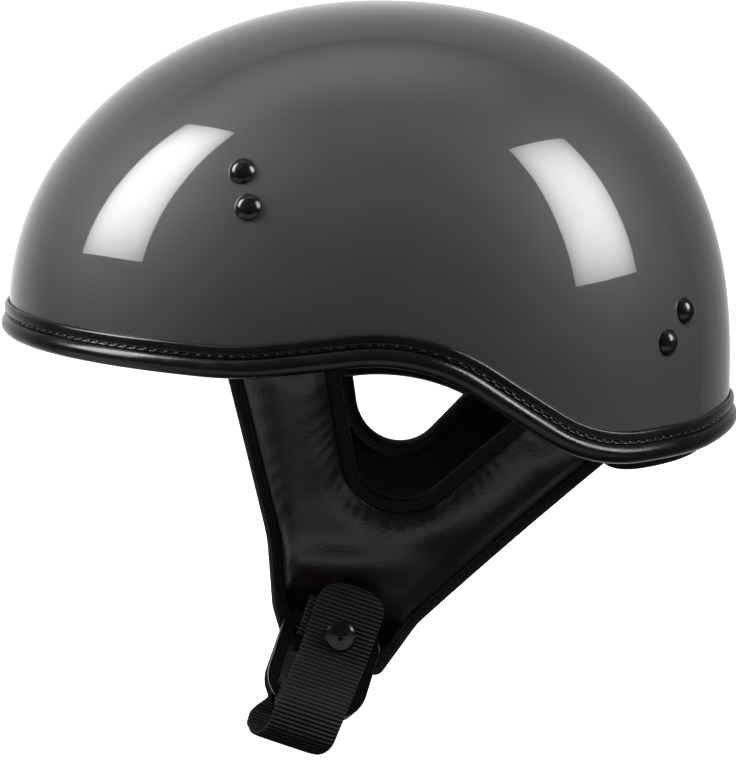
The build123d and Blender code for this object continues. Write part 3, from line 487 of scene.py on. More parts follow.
def filleted(corners: Sequence[Sequence[float]], radii: Sequence[float], spacing: float = 0.6) -> Points:
    """Plane path of straight runs joined by tangent arcs.

    At each inner corner the arc of radius r starts r tan(a / 2) before it, where a is the turn.

    Args:
        corners: Corners of the path, ends included.
        radii: Radius at each inner corner.
        spacing: Largest distance between two points.

    Returns:
        Array of points along the path.
    """
    places = np.asarray(corners, dtype=float)
    pieces = [places[:1]]
    for before, corner, after, radius in zip(places, places[1:], places[2:], radii):
        run_in, run_out = unit(corner - before), unit(after - corner)
        turn = np.arccos(np.clip(run_in @ run_out, -1, 1))
        if turn < 1e-4 or radius <= 0:
            pieces.append(corner[None])
            continue
        start = corner - run_in * radius * np.tan(turn / 2)
        side = np.array([-run_in[1], run_in[0]]) * np.sign(run_in[0] * run_out[1] - run_in[1] * run_out[0])
        angles = np.linspace(0, turn, max(int(np.ceil(radius * turn / spacing)), 4) + 1)[:, None]
        pieces.append(start + side * radius * (1 - np.cos(angles)) + run_in * radius * np.sin(angles))
    return evenly(np.concatenate([*pieces, places[-1:]]), spacing)


def parallel(corners: Sequence[Sequence[float]], radii: Sequence[float], distance: float) -> tuple[Points, Points]:
    """Corners and radii of a filleted path moved square to itself.

    A corner moves by d (n1 + n2) / (1 + n1 . n2), where n1 and n2 are the left normals of its runs, and a
    radius grows or shrinks by d as the path turns away from or towards that side.

    Args:
        corners: Corners of the path.
        radii: Radius at each inner corner.
        distance: How far the path moves to its left.

    Returns:
        The new corners and radii.
    """
    moved = np.array(corners, dtype=float)
    runs = unit(np.diff(moved, axis=0))
    normals = np.stack([-runs[:, 1], runs[:, 0]], axis=1)
    moved[0] += normals[0] * distance
    moved[-1] += normals[-1] * distance
    together = 1 + (normals[:-1] * normals[1:]).sum(axis=1, keepdims=True)
    moved[1:-1] += distance * (normals[:-1] + normals[1:]) / together
    turns = np.sign(runs[:-1, 0] * runs[1:, 1] - runs[:-1, 1] * runs[1:, 0])
    return moved, np.maximum(np.asarray(radii) - turns * distance, 1.0)


def grid_faces(rows: int, columns: int, form: Form) -> Points:
    """Quads of a grid of vertices.

    Args:
        rows: Number of vertex rows.
        columns: Number of vertices in a row.
        form: How the grid closes.

    Returns:
        Array of four vertex numbers for each quad.
    """
    row = np.arange(rows if form is Form.RING else rows - 1)[:, None]
    column = np.arange(columns - 1 if form is Form.SHEET else columns)
    row, below, beside = row * columns, (row + 1) % rows * columns, (column + 1) % columns
    return np.stack([row + column, row + beside, below + beside, below + column], axis=-1).reshape(-1, 4)


def smooth_mesh(name: str, vertices: Points, faces: list[list[int]]) -> bpy.types.Mesh:
    """Mesh of vertices in millimetres, with smooth shading.

    Args:
        name: Name of the mesh.
        vertices: Its vertices.
        faces: Vertex numbers of its faces.

    Returns:
        The mesh, in metres.
    """
    mesh = bpy.data.meshes.new(name)
    mesh.from_pydata((vertices * MM).tolist(), [], faces)
    mesh.polygons.foreach_set("use_smooth", np.ones(len(mesh.polygons), dtype=bool))
    mesh.update()
    return mesh


def add(name: str, data: Any) -> bpy.types.Object:
    """Adds an object to the scene.

    Args:
        name: Name of the object.
        data: Its mesh, lamp or camera.

    Returns:
        The object.
    """
    made = bpy.data.objects.new(name, data)
    bpy.context.scene.collection.objects.link(made)
    return made


@dataclass
class Surface:
    """A grid of points in millimetres that becomes a mesh, with cloth coordinates for its finish."""

    points: Points
    form: Form = Form.TUBE
    cloth: Points | None = None

    def mesh(self, name: str) -> bpy.types.Mesh:
        """Mesh of the grid, whose faces point outwards: P(i, j) is the point of row i and column j.

        Args:
            name: Name of the mesh.

        Returns:
            The mesh.
        """
        rows, columns = self.points.shape[:2]
        vertices = self.points.reshape(-1, 3)
        faces = grid_faces(rows, columns, self.form).tolist()
        if self.form is Form.TUBE:
            count, last, ring = rows * columns, (rows - 1) * columns, np.arange(columns)
            beside = (ring + 1) % columns
            vertices = np.concatenate([vertices, self.points[[0, -1]].mean(axis=1)])
            for fan in ((np.full(columns, count), beside, ring),
                        (np.full(columns, count + 1), last + ring, last + beside)):
                faces += np.stack(fan, axis=-1).tolist()
        mesh = smooth_mesh(name, vertices, faces)
        if self.cloth is not None:
            self._write_cloth(mesh)
        self._face_out(mesh)
        return mesh

    def _write_cloth(self, mesh: bpy.types.Mesh) -> None:
        """Writes the cloth coordinates to a UV map, unbroken where the rows close.

        Args:
            mesh: The new mesh.
        """
        layer = mesh.uv_layers.new(name="cloth")
        table = np.concatenate([self.cloth.reshape(-1, 2), np.zeros((2, 2))])
        loops = np.empty(len(mesh.loops), dtype=np.int64)
        mesh.loops.foreach_get("vertex_index", loops)
        values = table[loops]
        if self.form is Form.TUBE:
            rows, columns = self.points.shape[:2]
            corner = values[:(rows - 1) * columns * 4].reshape(-1, 4, 2)
            step = np.abs(np.diff(self.cloth[..., 1], axis=1)).mean()
            jump = np.abs(corner[:, 1, 1] - corner[:, 0, 1]) > 6 * step + 1
            corner[jump, 1, 1] = corner[jump, 0, 1] + step
            corner[jump, 2, 1] = corner[jump, 3, 1] + step
        layer.data.foreach_set("uv", values.astype(np.float32).ravel())

    @staticmethod
    def _face_out(mesh: bpy.types.Mesh) -> None:
        """Turns a closed mesh right side out, by the sign of the volume under its faces.

        Args:
            mesh: The mesh.
        """
        mesh.calc_loop_triangles()
        corners = np.empty(len(mesh.loop_triangles) * 3, dtype=np.int64)
        mesh.loop_triangles.foreach_get("vertices", corners)
        places = np.empty(len(mesh.vertices) * 3)
        mesh.vertices.foreach_get("co", places)
        triangles = places.reshape(-1, 3)[corners].reshape(-1, 3, 3)
        first, second, third = (triangles - triangles.mean(axis=(0, 1))).transpose(1, 0, 2)
        if np.einsum("ij,ij->i", first, np.cross(second, third)).sum() < 0:
            mesh.flip_normals()


@dataclass
class Dome:
    """The helmet's dome: every level section is an ellipse whose half lengths are superellipse quarters.

    The front, rear and side quarters each hold their reach L, their drop D and their power n.
    """

    crown: float = 34.5
    apex_x: float = 2.0
    front: tuple[float, float, float] = (139.0, 116.5, 2.0)
    rear: tuple[float, float, float] = (135.0, 137.0, 2.3)
    side: tuple[float, float, float] = (112.0, 135.0, 2.3)

    def section(self, z: Points, inset: Points | float) -> tuple[Points, Points, Points]:
        """Ellipse at height z: a half length at depth d is L (1 - (1 - d / D)^n)^(1 / n).

        Args:
            z: Heights.
            inset: Distance inside the shell's outer face.

        Returns:
            Centre x, half length and half width.
        """
        halves = []
        for reach, drop, power in (self.front, self.rear, self.side):
            share = np.clip((self.crown - inset - z) / (drop - inset), 0, 1)
            halves.append((reach - inset) * (1 - (1 - share) ** power) ** (1 / power))
        front, rear, side = halves
        return self.apex_x + (rear - front) / 2, (front + rear) / 2, side

    def at(self, turn: Points, z: Points, inset: Points | float) -> Points:
        """Point at an angle round the section at height z: x = cx + a cos t, y = -b sin t."""
        centre, half_x, half_y = self.section(z, inset)
        return np.stack(np.broadcast_arrays(centre + half_x * np.cos(turn), -half_y * np.sin(turn), z), axis=-1)

    def beside(self, x: Points, z: Points, inset: Points | float) -> Points:
        """Point on the wearer's left at x and z: y = -b sqrt(1 - ((x - cx) / a)^2)."""
        centre, half_x, half_y = self.section(z, inset)
        return np.stack([x, -half_y * np.sqrt(np.clip(1 - ((x - centre) / half_x) ** 2, 0, 1)), z], axis=-1)

    def normal(self, turn: Points, z: Points, step: float = 0.01) -> Points:
        """Outward normal of the outer face, as the cross product of the surface's two small steps.

        Args:
            turn: Angles round the dome.
            z: Heights.
            step: Size of the steps.

        Returns:
            The normals.
        """
        round_step = self.at(turn + step, z, 0.0) - self.at(turn - step, z, 0.0)
        down_step = self.at(turn, z - step, 0.0) - self.at(turn, z + step, 0.0)
        normals = unit(np.cross(down_step, round_step))
        outward = self.at(turn, z, 0.0) - np.array([self.apex_x, 0, -self.side[0]])
        return normals * np.sign((normals * outward).sum(axis=-1, keepdims=True))


@dataclass
class Brim:
    """The brim line seen from the side, from the front edge to the back edge."""

    dome: Dome
    corners: Pairs = ((-154.0, -87.75), (-48.0, -91.8), (17.6, -83.6), (79.9, -126.3), (122.0, -126.3),
                      (150.0, -121.4))
    radii: tuple[float, ...] = (155.0, 65.0, 62.0, 45.0)
    lifted: float = 20.0
    rounds: int = 25

    def height(self, x: Points, lift: float = 0.0) -> Points:
        """Height of the lifted line at x, by interpolation on its filleted path."""
        corners, radii = parallel(self.corners, self.radii, lift)
        return np.interp(x, *filleted(corners, np.maximum(radii, 4.0)).T)

    def run(self, turn: Points, lift: Points | float, inset: Points | float) -> Points:
        """Points where the dome meets the lifted line, by repeated substitution of x in z = f(x).

        Args:
            turn: Angles round the dome.
            lift: Height of the line above the brim, blended between two lines.
            inset: Distance inside the shell's outer face.

        Returns:
            The points.
        """
        turn, lift, inset = np.broadcast_arrays(turn, lift, inset)
        x = np.zeros_like(turn)
        for _ in range(self.rounds + 1):
            low = self.height(x)
            z = low + (self.height(x, self.lifted) - low) * lift / self.lifted
            centre, half_x, _ = self.dome.section(z, inset)
            x = centre + half_x * np.cos(turn)
        return self.dome.at(turn, z, inset)


@dataclass
class StrapFrame:
    """The leaning frame that covers, straps and rings share: across, up, and out to one side."""

    lean: float = 19.0
    x: float = -11.0
    z: float = -195.6
    toe: float = 9.8

    @property
    def axes(self) -> Points:
        """Directions across the straps and up them, turned by the lean in the side view."""
        cos, sin = np.cos(np.radians(self.lean)), np.sin(np.radians(self.lean))
        return np.array([[cos, 0.0, -sin], [sin, 0.0, cos]])

    def place(self, across: Points, up: Points, out: Points) -> Points:
        """Points at P = S + a W + h U - o Y.

        Args:
            across: Distances a along the straps' width.
            up: Distances h up the straps.
            out: Distances o from the middle plane.

        Returns:
            The points.
        """
        across, up, out = (item[..., None] for item in np.broadcast_arrays(across, up, out))
        origin, (width, rise) = np.array([self.x, 0.0, self.z]), self.axes
        return origin + across * width + up * rise + out * np.array([0.0, -1.0, 0.0])


@dataclass
class Shop:
    """What every sub-assembly shares: the dome, the brim line, the strap frame and the finished materials."""

    dome: Dome
    brim: Brim
    frame: StrapFrame
    materials: dict[Look, bpy.types.Material]

    def put(self, name: str, shape: Surface | bpy.types.Mesh, look: Look, body: str, *nodes: str,
            fill: float = 0.0) -> None:
        """Places a finished piece in the scene.

        Args:
            name: Name of the new object and its mesh.
            shape: Its shape, in place.
            look: Its finish.
            body: Body that it rides on.
            nodes: CAD nodes that it stands for.
            fill: How full a padded piece is, or 0 for a firm one; not used.
        """
        mesh = shape.mesh(name) if isinstance(shape, Surface) else shape
        piece = add(name, mesh)
        mesh.materials.append(self.materials[look])
        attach(piece, body)
        if nodes:
            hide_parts(*nodes)
        LOG.info("%s rides on %s: %d faces", name, body, len(mesh.polygons))

    def dress(self, look: Look, *nodes: str) -> None:
        """Gives CAD nodes their finish."""
        for slot in (slot for node in nodes for slot in bpy.data.objects[node].material_slots):
            slot.material = self.materials[look]


@dataclass
class Shell:
    """The outer shell with its glossy paint."""

    shop: Shop
    wall: float = 4.0
    edge_lift: float = 3.0
    around: int = 288
    down: int = 96

    def build(self) -> None:
        """Builds the shell as one closed skin.

        A column of the outer face runs from the crown to the brim with depth D (1 - cos v), and comes back
        on the inner face.
        """
        turn = circle(self.around)[:, None]
        share = np.linspace(0.004, 1, self.down)[None, :]
        faces = []
        for inset in (0.0, self.wall):
            foot = self.shop.brim.run(turn, self.edge_lift, inset)[..., 2]
            top = self.shop.dome.crown - inset
            faces.append(self.shop.dome.at(turn, top - (top - foot) * (1 - np.cos(share * np.pi / 2)), inset))
        columns = np.concatenate([faces[0], faces[1][:, ::-1]], axis=1)
        self.shop.put("shell_skin", Surface(columns.transpose(1, 0, 2)), Look.PAINT, "helmet", "outer_shell")


@dataclass
class Trim:
    """Edge trim: a flat skirt, a stitched groove and a round bead, with the liner's hem inside it."""

    shop: Shop
    bead_radius: float = 3.8
    bead_proud: float = 3.0
    bead_drop: float = 1.6
    skirt_top: float = 10.6
    skirt_thickness: float = 1.0
    skirt_crown: float = 0.4
    clearance: float = 0.3
    wall: float = 4.0
    flange_inset: float = 5.0
    flange_top: float = 9.0
    groove_width: float = 0.7
    groove_depth: float = 0.7
    rolled_edge: float = 0.6
    rolled_width: float = 0.9
    stitch_pitch: float = 4.4
    stitch_length: float = 3.0
    stitch_radius: float = 0.46
    stitch_rise: float = 0.6
    stations: int = 720
    hem_span: tuple[float, float] = (-10.0, 37.0)
    hem_drop: float = 1.5
    hem_height: float = 2.0
    hem_inside: float = 1.1
    hem_half: float = 0.7

    def frames(self, count: int) -> tuple[Points, Points, Points, Points]:
        """Evenly spaced places round the brim with their axes.

        Args:
            count: Number of places.

        Returns:
            Places, tangents, outward normals and upward directions in the wall.
        """
        turn = np.linspace(0, 2 * np.pi, 1441)
        run = lengths(self.shop.brim.run(turn, 0.0, 0.0))
        turn = np.interp(np.linspace(0, run[-1], count, endpoint=False), run, turn)
        place = self.shop.brim.run(turn, 0.0, 0.0)
        tangent = unit(np.roll(place, -1, axis=0) - np.roll(place, 1, axis=0))
        normal = unit(self.shop.dome.normal(turn, place[:, 2]))
        normal = unit(normal - tangent * (normal * tangent).sum(axis=1, keepdims=True))
        upward = np.cross(normal, tangent)
        return place, tangent, normal, upward * np.sign(upward[:, 2:3])

    def _ring(self, *profile: Any) -> Surface:
        """Closed ring of a profile of (out, up) pairs that is carried round the brim."""
        place, _, normal, upward = self.frames(self.stations)
        return Surface(carried(place, normal, upward, *np.concatenate(profile).T[:, None]), Form.RING)

    def build(self) -> None:
        """Builds bead, skirt, stitches and hems."""
        angles = np.radians(np.linspace(64, -150, 30))
        bead = np.stack([self.bead_proud - self.bead_radius + self.bead_radius * np.cos(angles),
                         self.bead_radius - self.bead_drop + self.bead_radius * np.sin(angles)], axis=1)
        inside, top = -self.wall - self.clearance, 2 * self.bead_radius - self.bead_drop
        flange = [(-self.flange_inset, 2.6), (-self.flange_inset, self.flange_top - 0.3),
                  (-self.flange_inset + 0.35, self.flange_top), (inside, self.flange_top), (inside, 2.4),
                  (self.clearance, 2.7), (self.clearance, top - 0.1)]
        self.shop.put("trim_bead_skin", self._ring(bead, flange), Look.VINYL, "helmet", "trim_bead")
        foot = top - 0.15
        face = self.clearance + self.skirt_thickness
        rise = np.linspace(foot, self.skirt_top, 22)
        groove = self.groove_depth * np.exp(-((rise - foot - self.groove_width) / (0.45 * self.groove_width)) ** 2)
        crown = self.skirt_crown * (1 - ((rise - foot) / (self.skirt_top - foot) * 2 - 1) ** 2)
        rolled = self.rolled_edge * np.clip((rise - self.skirt_top) / self.rolled_width + 1, 0, 1) ** 2
        front = np.stack([face + crown - groove - rolled, rise], axis=1)
        skirt = self._ring(front, [(self.clearance, self.skirt_top), (self.clearance, foot)])
        self.shop.put("trim_skirt_skin", skirt, Look.VINYL, "helmet", "trim_skirt")
        stitches = self._stitches(foot + self.groove_width, face - self.groove_depth + self.stitch_rise)
        self.shop.put("trim_stitches", stitches, Look.THREAD, "helmet")
        for side in Side:
            self.shop.put(f"liner_hem_{side.word}", self._hem(side), Look.VINYL, "helmet")

    def _hem(self, side: Side) -> Surface:
        """Piped hem of the liner over the ear: a rounded strip inside the bead, carried along the brim.

        Args:
            side: Side of the wearer.

        Returns:
            The closed strip, whose lower edge drops as d (1 - t^2) from its front end.
        """
        place, _, normal, upward = self.frames(self.stations)
        x, y, _ = place.T
        mine = np.flatnonzero((y * side.value > 0) & (x > self.hem_span[0]) & (x < self.hem_span[1]))
        order = mine[np.argsort(x[mine])]
        x = x[order]
        foot = self.bead_drop + self.hem_drop * (1 - ((x - x[0]) / (x[-1] - x[0])) ** 2)[:, None]
        out, rise = oval(20, 0.5, 0.5)
        height = (self.hem_height + foot) * (0.5 + rise) / 1.5 - foot
        inset = -self.flange_inset - self.hem_inside + self.hem_half * out
        return Surface(carried(place[order], normal[order], upward[order], inset, height))

    def _stitches(self, lift: float, out: float) -> bpy.types.Mesh:
        """Row of stitches in the groove, each a capsule along the trim.

        A stitch is a surface of angle a and share t: its radius is r sqrt(1 - (2t - 1)^4), and its ends dip
        into the groove.

        Args:
            lift: Height of the row above the trim's foot.
            out: Distance of the row from the shell.

        Returns:
            One mesh of all the stitches.
        """
        total = lengths(self.shop.brim.run(np.linspace(0, 2 * np.pi, 721), 0.0, 0.0))[-1]
        place, *axes = self.frames(int(round(total / self.stitch_pitch)))
        rows, columns = 7, 6
        share, angle = np.linspace(0.02, 0.98, rows)[:, None], circle(columns)[None]
        radius = self.stitch_radius * np.sqrt(1 - (2 * share - 1) ** 4)
        parts = ((share - 0.5) * self.stitch_length, out - 0.5 * (2 * share - 1) ** 4 + radius * np.cos(angle),
                 lift + radius * np.sin(angle))
        points = sum((np.broadcast_to(part, (rows, columns))[..., None] * axis[:, None, None]
                      for part, axis in zip(parts, axes)), start=place[:, None, None])
        ring = np.arange(columns)
        lids = np.stack([ring[::-1], (rows - 1) * columns + ring])
        first = (np.arange(len(place)) * rows * columns)[:, None, None]
        faces = [face for kind in (grid_faces(rows, columns, Form.TUBE), lids)
                 for face in (kind[None] + first).reshape(-1, kind.shape[1]).tolist()]
        return smooth_mesh("trim_stitches", points.reshape(-1, 3), faces)


@dataclass
class EarCover:
    """One padded ear cover with its lining, jaw pad and knitted bindings; edges are shares of its size."""

    shop: Shop
    side: Side
    length: float = 140.0
    height: float = 112.0
    top_lift: float = 1.6
    leather_depth: float = 2.2
    jaw_depth: float = 3.6
    face_depth: float = 4.4
    lining_depth: float = 9.3
    binding_width: float = 5.6
    binding_front: float = 0.9
    binding_back: float = 8.9
    overlap: float = 0.8
    seam: float = 7.5
    outline: tuple[Pairs, tuple[float, ...]] = (
        ((-0.776, 1.3), (-0.268, 0.228), (-0.193, 0.0), (-0.121, -0.135), (0.145, -0.135), (0.1936, 0.089),
         (0.6855, 1.3)), (0.54, 0.18, 0.08, 0.036, 0.22))
    notch: tuple[Pairs, tuple[float, ...]] = (((-0.418, 1.3), (-0.006, 0.3125), (0.406, 1.3)), (0.156,))
    pillow_reach: float = 14.0
    pillow_crown: float = 5.4
    lining_crown: float = 1.5
    pucker: float = 0.15
    wave: float = 0.35
    tuck: tuple[float, float, float] = (0.92, 0.76, 0.98)
    dent: float = 0.45
    dent_share: float = 0.28
    gather: float = 0.12
    gather_pitch: float = 3.1
    folds: tuple[tuple[float, ...], ...] = (
        (-10, 25, 24, 8, 16, 3.4), (-18, 10.5, 9, 3.5, 0, 1.3), (12, 12, 8, 9, 0, 1.2),
        (-46, 84, 30, 9, 110, 1.2), (46, 80, 32, 9, 52, 1.2),
        (-14, 55, 16, 9, 24, -1.2), (38, 62, 22, 8, 48, 1.4),
        (24, 36, 9, 12, 40, -1.2))
    face_points: Pairs = ((87.4, 97.5), (67.37, 56.5), (49.6, 0.0))

    def arc(self) -> tuple[Points, float]:
        """Centre and radius of the face's arc through its three points, from |p - c| = r.

        Returns:
            The centre, as (out, up), and the radius.
        """
        points = np.array(self.face_points)
        squares = (points ** 2).sum(axis=1)
        centre = np.linalg.solve(2 * (points[1:] - points[0]), squares[1:] - squares[0])
        return centre, float(np.hypot(*(points[0] - centre)))

    def bend(self, up: Points, depth: Points | float) -> Points:
        """Distance out of a layer in the middle plane: G(h) = c - sqrt((R + d)^2 - (h - k)^2)."""
        centre, radius = self.arc()
        return centre[0] - np.sqrt((radius + depth) ** 2 - (up - centre[1]) ** 2)

    def on_cover(self, across: Points, up: Points, depth: Points | float) -> Points:
        """Points of a layer of the toed-in cover, whose distance out is G(h) / cos(toe) - tan(toe) a.

        Args:
            across: Places along the strap's width.
            up: Places up the strap.
            depth: Depth of the layer below the leather's arc.

        Returns:
            The points, on the cover's own side.
        """
        toe = np.radians(self.shop.frame.toe)
        out = self.bend(up, depth) / np.cos(toe) - np.tan(toe) * across
        return self.side.mirrored(self.shop.frame.place(across, up, out))

    def path(self, edge: tuple[Pairs, tuple[float, ...]], inward: float) -> Points:
        """Filleted edge moved to its left, before the brim cuts it off."""
        corners = np.asarray(edge[0]) * np.array([self.length, self.height])
        return filleted(*parallel(corners, np.asarray(edge[1]) * self.height, inward), 0.4)

    def below_brim(self, path: Points) -> Points:
        """Points of a path that lie under the top line of the cover."""
        world = self.shop.frame.place(path[:, 0], path[:, 1], np.zeros(len(path)))
        return path[world[:, 2] < self.shop.brim.height(world[:, 0], self.top_lift)]

    def relief(self, across: Points, up: Points) -> Points:
        """Soft folds of the leather: the sum of h exp(-(x / a)^2 - (y / b)^2) in each fold's turned frame.

        Args:
            across: Places along the strap's width.
            up: Places up the strap.

        Returns:
            How far the leather stands proud there.
        """
        total = np.zeros(across.shape)
        for x, y, long, wide, turn, height in self.folds:
            cos, sin = np.cos(np.radians(turn)), np.sin(np.radians(turn))
            along = (across - x) * cos + (up - y) * sin
            beside = (up - y) * cos - (across - x) * sin
            total += height * np.exp(-(along / long) ** 2 - (beside / wide) ** 2)
        return total

    def panel(self, outer: Points, inner: Points, front: float, back: float, crown: float, quilt: Quilt) -> Surface:
        """Padded panel between two edges.

        A cross-section runs from the inner to the outer edge on the face and comes back behind: at share v it
        lies at (1 - v) inner + v outer. The face swells with the distance e from the edge as
        c (0.4 (1 - i^2)^(1 / 2) + 0.6 (1 - i^2)) with i = 1 - e / r, with soft puckers close to the edge, and
        is drawn in near the top, where the brim covers it.

        Args:
            outer: Outer edge.
            inner: Inner edge.
            front: Depth of the outward face at its edge.
            back: Depth of the inward face at its edge.
            crown: How far the crowned face swells.
            quilt: Which face swells.

        Returns:
            The closed panel.
        """
        first, second = evenly(inner, count=260), evenly(outer, count=260)
        share, on_face = (item[None, :] for item in round_trip(61, 31))
        across, up = (first[:, None] * (1 - share[..., None]) + second[:, None] * share[..., None]).transpose(2, 0, 1)
        edge = np.minimum(share, 1 - share) * np.linalg.norm(second - first, axis=1)[:, None]
        run = lengths(second)[:, None]
        inside = 1 - np.clip(edge / self.pillow_reach, 0, 1)
        roll = 0.4 * np.sqrt(1 - inside ** 2) + 0.6 * (1 - inside ** 2)
        pucker = self.pucker * np.sin(run * 0.72 + 1.7 * np.sin(run * 0.13)) * np.exp(-edge / 6.0)
        wave = self.wave * np.sin(across * 0.11 + 0.6) * np.sin(up * 0.085 + 0.9)
        folds = self.relief(across, up) if quilt is Quilt.OUT else 0.0
        drawn_in, start, end = self.tuck
        tucked = 1 - drawn_in * smoothstep(self.height * start, self.height * end, up)
        swell = (crown * roll + (pucker + wave + folds) * smoothstep(0.0, 5.0, edge)) * tucked
        swollen = on_face if quilt is Quilt.OUT else ~on_face
        depth = np.where(on_face, front, back) - np.where(swollen, swell, 0.0) * quilt.value
        return Surface(self.on_cover(across, up, depth))

    def binding(self, edge: Points, inward: float) -> Surface:
        """Knitted binding folded over an edge.

        Its section is a superellipse |x|^3.2 + |y|^3.2 = 1 with a stitched dent in its face, carried along the
        edge with x across the tape and y through the cover.

        Args:
            edge: Path of the cover's edge.
            inward: Sign of the direction from the edge into the cover.

        Returns:
            The closed binding.
        """
        path = evenly(edge, 0.7)
        tangent = unit(np.gradient(path, axis=0))
        normal = np.stack([-tangent[:, 1], tangent[:, 0]], axis=1) * inward
        half, through = self.binding_width / 2, (self.binding_back - self.binding_front) / 2
        x, y = oval(56, 2 / 3.2, 2 / 3.2)
        x, y = half * x, through * y
        run = lengths(path)[:, None]
        seam = (x - self.dent_share * half)[None]
        gather = self.gather * np.sin(run * 2 * np.pi / self.gather_pitch)
        dent = self.dent * np.exp(-(seam / 0.55) ** 2) + gather * np.exp(-(seam / 1.1) ** 2)
        tape = path[:, None] + normal[:, None] * (half + x)[None, :, None]
        depth = self.binding_front + through - y[None] + np.where(y[None] > 0, dent, 0)
        cloth = np.stack(np.broadcast_arrays(run, lengths(np.stack([x, y], axis=1))[None]), axis=-1)
        return Surface(self.on_cover(tape[..., 0], tape[..., 1], depth), cloth=cloth)

    def build(self) -> None:
        """Builds this side's cover: the leather ends at the jaw seam, and the lining reaches the lower edge."""
        word, inward = self.side.word, self.binding_width - self.overlap
        body = f"{word}_harness"
        outline = self.path(self.outline, inward)
        above = outline[outline[:, 1] > self.seam]
        left, right = above[above[:, 0] < 0], above[above[:, 0] >= 0]
        seamed = self.below_brim(np.concatenate([left, np.linspace(left[-1], right[0], 60)[1:-1], right]))
        inner = self.below_brim(self.path(self.notch, -inward))
        leather = self.panel(seamed, inner, self.leather_depth, self.face_depth, self.pillow_crown, Quilt.OUT)
        lining = self.panel(self.below_brim(outline), inner, self.face_depth + 0.2,
                            self.lining_depth - self.lining_crown - 0.1, self.lining_crown, Quilt.IN)
        put = self.shop.put
        put(f"leather_face_{word}", leather, Look.LEATHER, body, f"ear_cover_{word}", fill=0.6)
        put(f"lining_{word}", lining, Look.LINING, body, f"cover_lining_{word}", fill=0.6)
        put(f"jaw_panel_{word}", self._jaw(), Look.JAW, body, f"jaw_pad_{word}", fill=0.4)
        for name, edge, sign, node in (("outer", self.outline, 1.0, "cover"), ("notch", self.notch, -1.0, "notch")):
            tape = self.binding(self.below_brim(self.path(edge, 0.0)), sign)
            put(f"{name}_tape_{word}", tape, Look.KNIT, body, f"{node}_binding_{word}")
        self.shop.dress(Look.WEBBING, f"front_leg_web_{word}", f"rear_leg_web_{word}")

    def _jaw(self) -> Surface:
        """Jaw panel below the leather's seam: a patch between the front and rear edges at each height.

        Returns:
            The closed panel, whose face bulges as 4 v (1 - v) sin(pi t).
        """
        edge = self.below_brim(self.path(self.outline, self.binding_width - 1.5))
        split = int(np.argmin(edge[:, 1]))
        heights = np.linspace(edge[split, 1] + 0.3, self.seam + 1.2, 34)[:, None]
        front = np.interp(heights, edge[:split, 1][::-1], edge[:split, 0][::-1])
        rear = np.interp(heights, edge[split:, 1], edge[split:, 0])
        share, on_face = round_trip(40, 40)
        bulge = 0.5 * (4 * share * (1 - share)) * np.sin(np.linspace(0, np.pi, 34))[:, None]
        depth = np.where(on_face, self.jaw_depth - bulge, self.face_depth + 0.1)
        return Surface(self.on_cover(front * (1 - share) + rear * share, heights, depth))


@dataclass
class Strap:
    """A strap of ribbed webbing along a path in the strap frame."""

    frame: StrapFrame
    width: float = 25.4
    thickness: float = 1.4
    shift: float = -2.6
    rib_pitch: float = 1.57
    rib_height: float = 0.30

    def along(self, corners: Sequence[Sequence[float]], radii: Sequence[float],
              centre: Callable[[Points], Points] | None = None,
              half_width: Callable[[Points], Points] | None = None) -> Surface:
        """Ribbed band along a filleted path of (out, up) corners.

        Args:
            corners: Corners of the path.
            radii: Radius at each inner corner.
            centre: Place of the band's middle line for each distance along it.
            half_width: Half width for each distance along it.

        Returns:
            The closed band.
        """
        path = filleted(corners, radii, self.rib_pitch / 6)
        run = lengths(path)
        middle = centre(run) if centre else np.full(len(run), self.shift)
        half = half_width(run) if half_width else np.full(len(run), self.width / 2)
        line = self.frame.place(middle, path[:, 1], path[:, 0])
        return self.band(line, np.broadcast_to(self.frame.axes[0], line.shape), half)

    def band(self, line: Points, sideways: Points, half: Points) -> Surface:
        """Ribbed band about a line in space: P = C + x a S + y b N.

        The section is a superellipse |x|^8 + |y|^2 = 1, and b swells by h (sin(2 pi s / p) / 2 + 1 / 2) with
        the distance s along the band.

        Args:
            line: Middle line C.
            sideways: Direction S of the width at each of its points.
            half: Half width a at each of its points.

        Returns:
            The closed band.
        """
        normal = unit(np.cross(unit(np.gradient(line, axis=0)), sideways))
        run = lengths(line)[:, None]
        x, y = oval(44, 0.25, 1.0)
        sunk = 0.5 - 0.5 * np.sin(2 * np.pi * run / self.rib_pitch)
        points = carried(line, sideways, normal, x[None] * (half[:, None] - 0.12 * sunk),
                         y[None] * (self.thickness / 2 - self.rib_height * sunk))
        girth = lengths(np.stack([x * self.width / 2, y * self.thickness / 2], axis=1))
        return Surface(points, cloth=np.stack(np.broadcast_arrays(run, girth[None]), axis=-1))


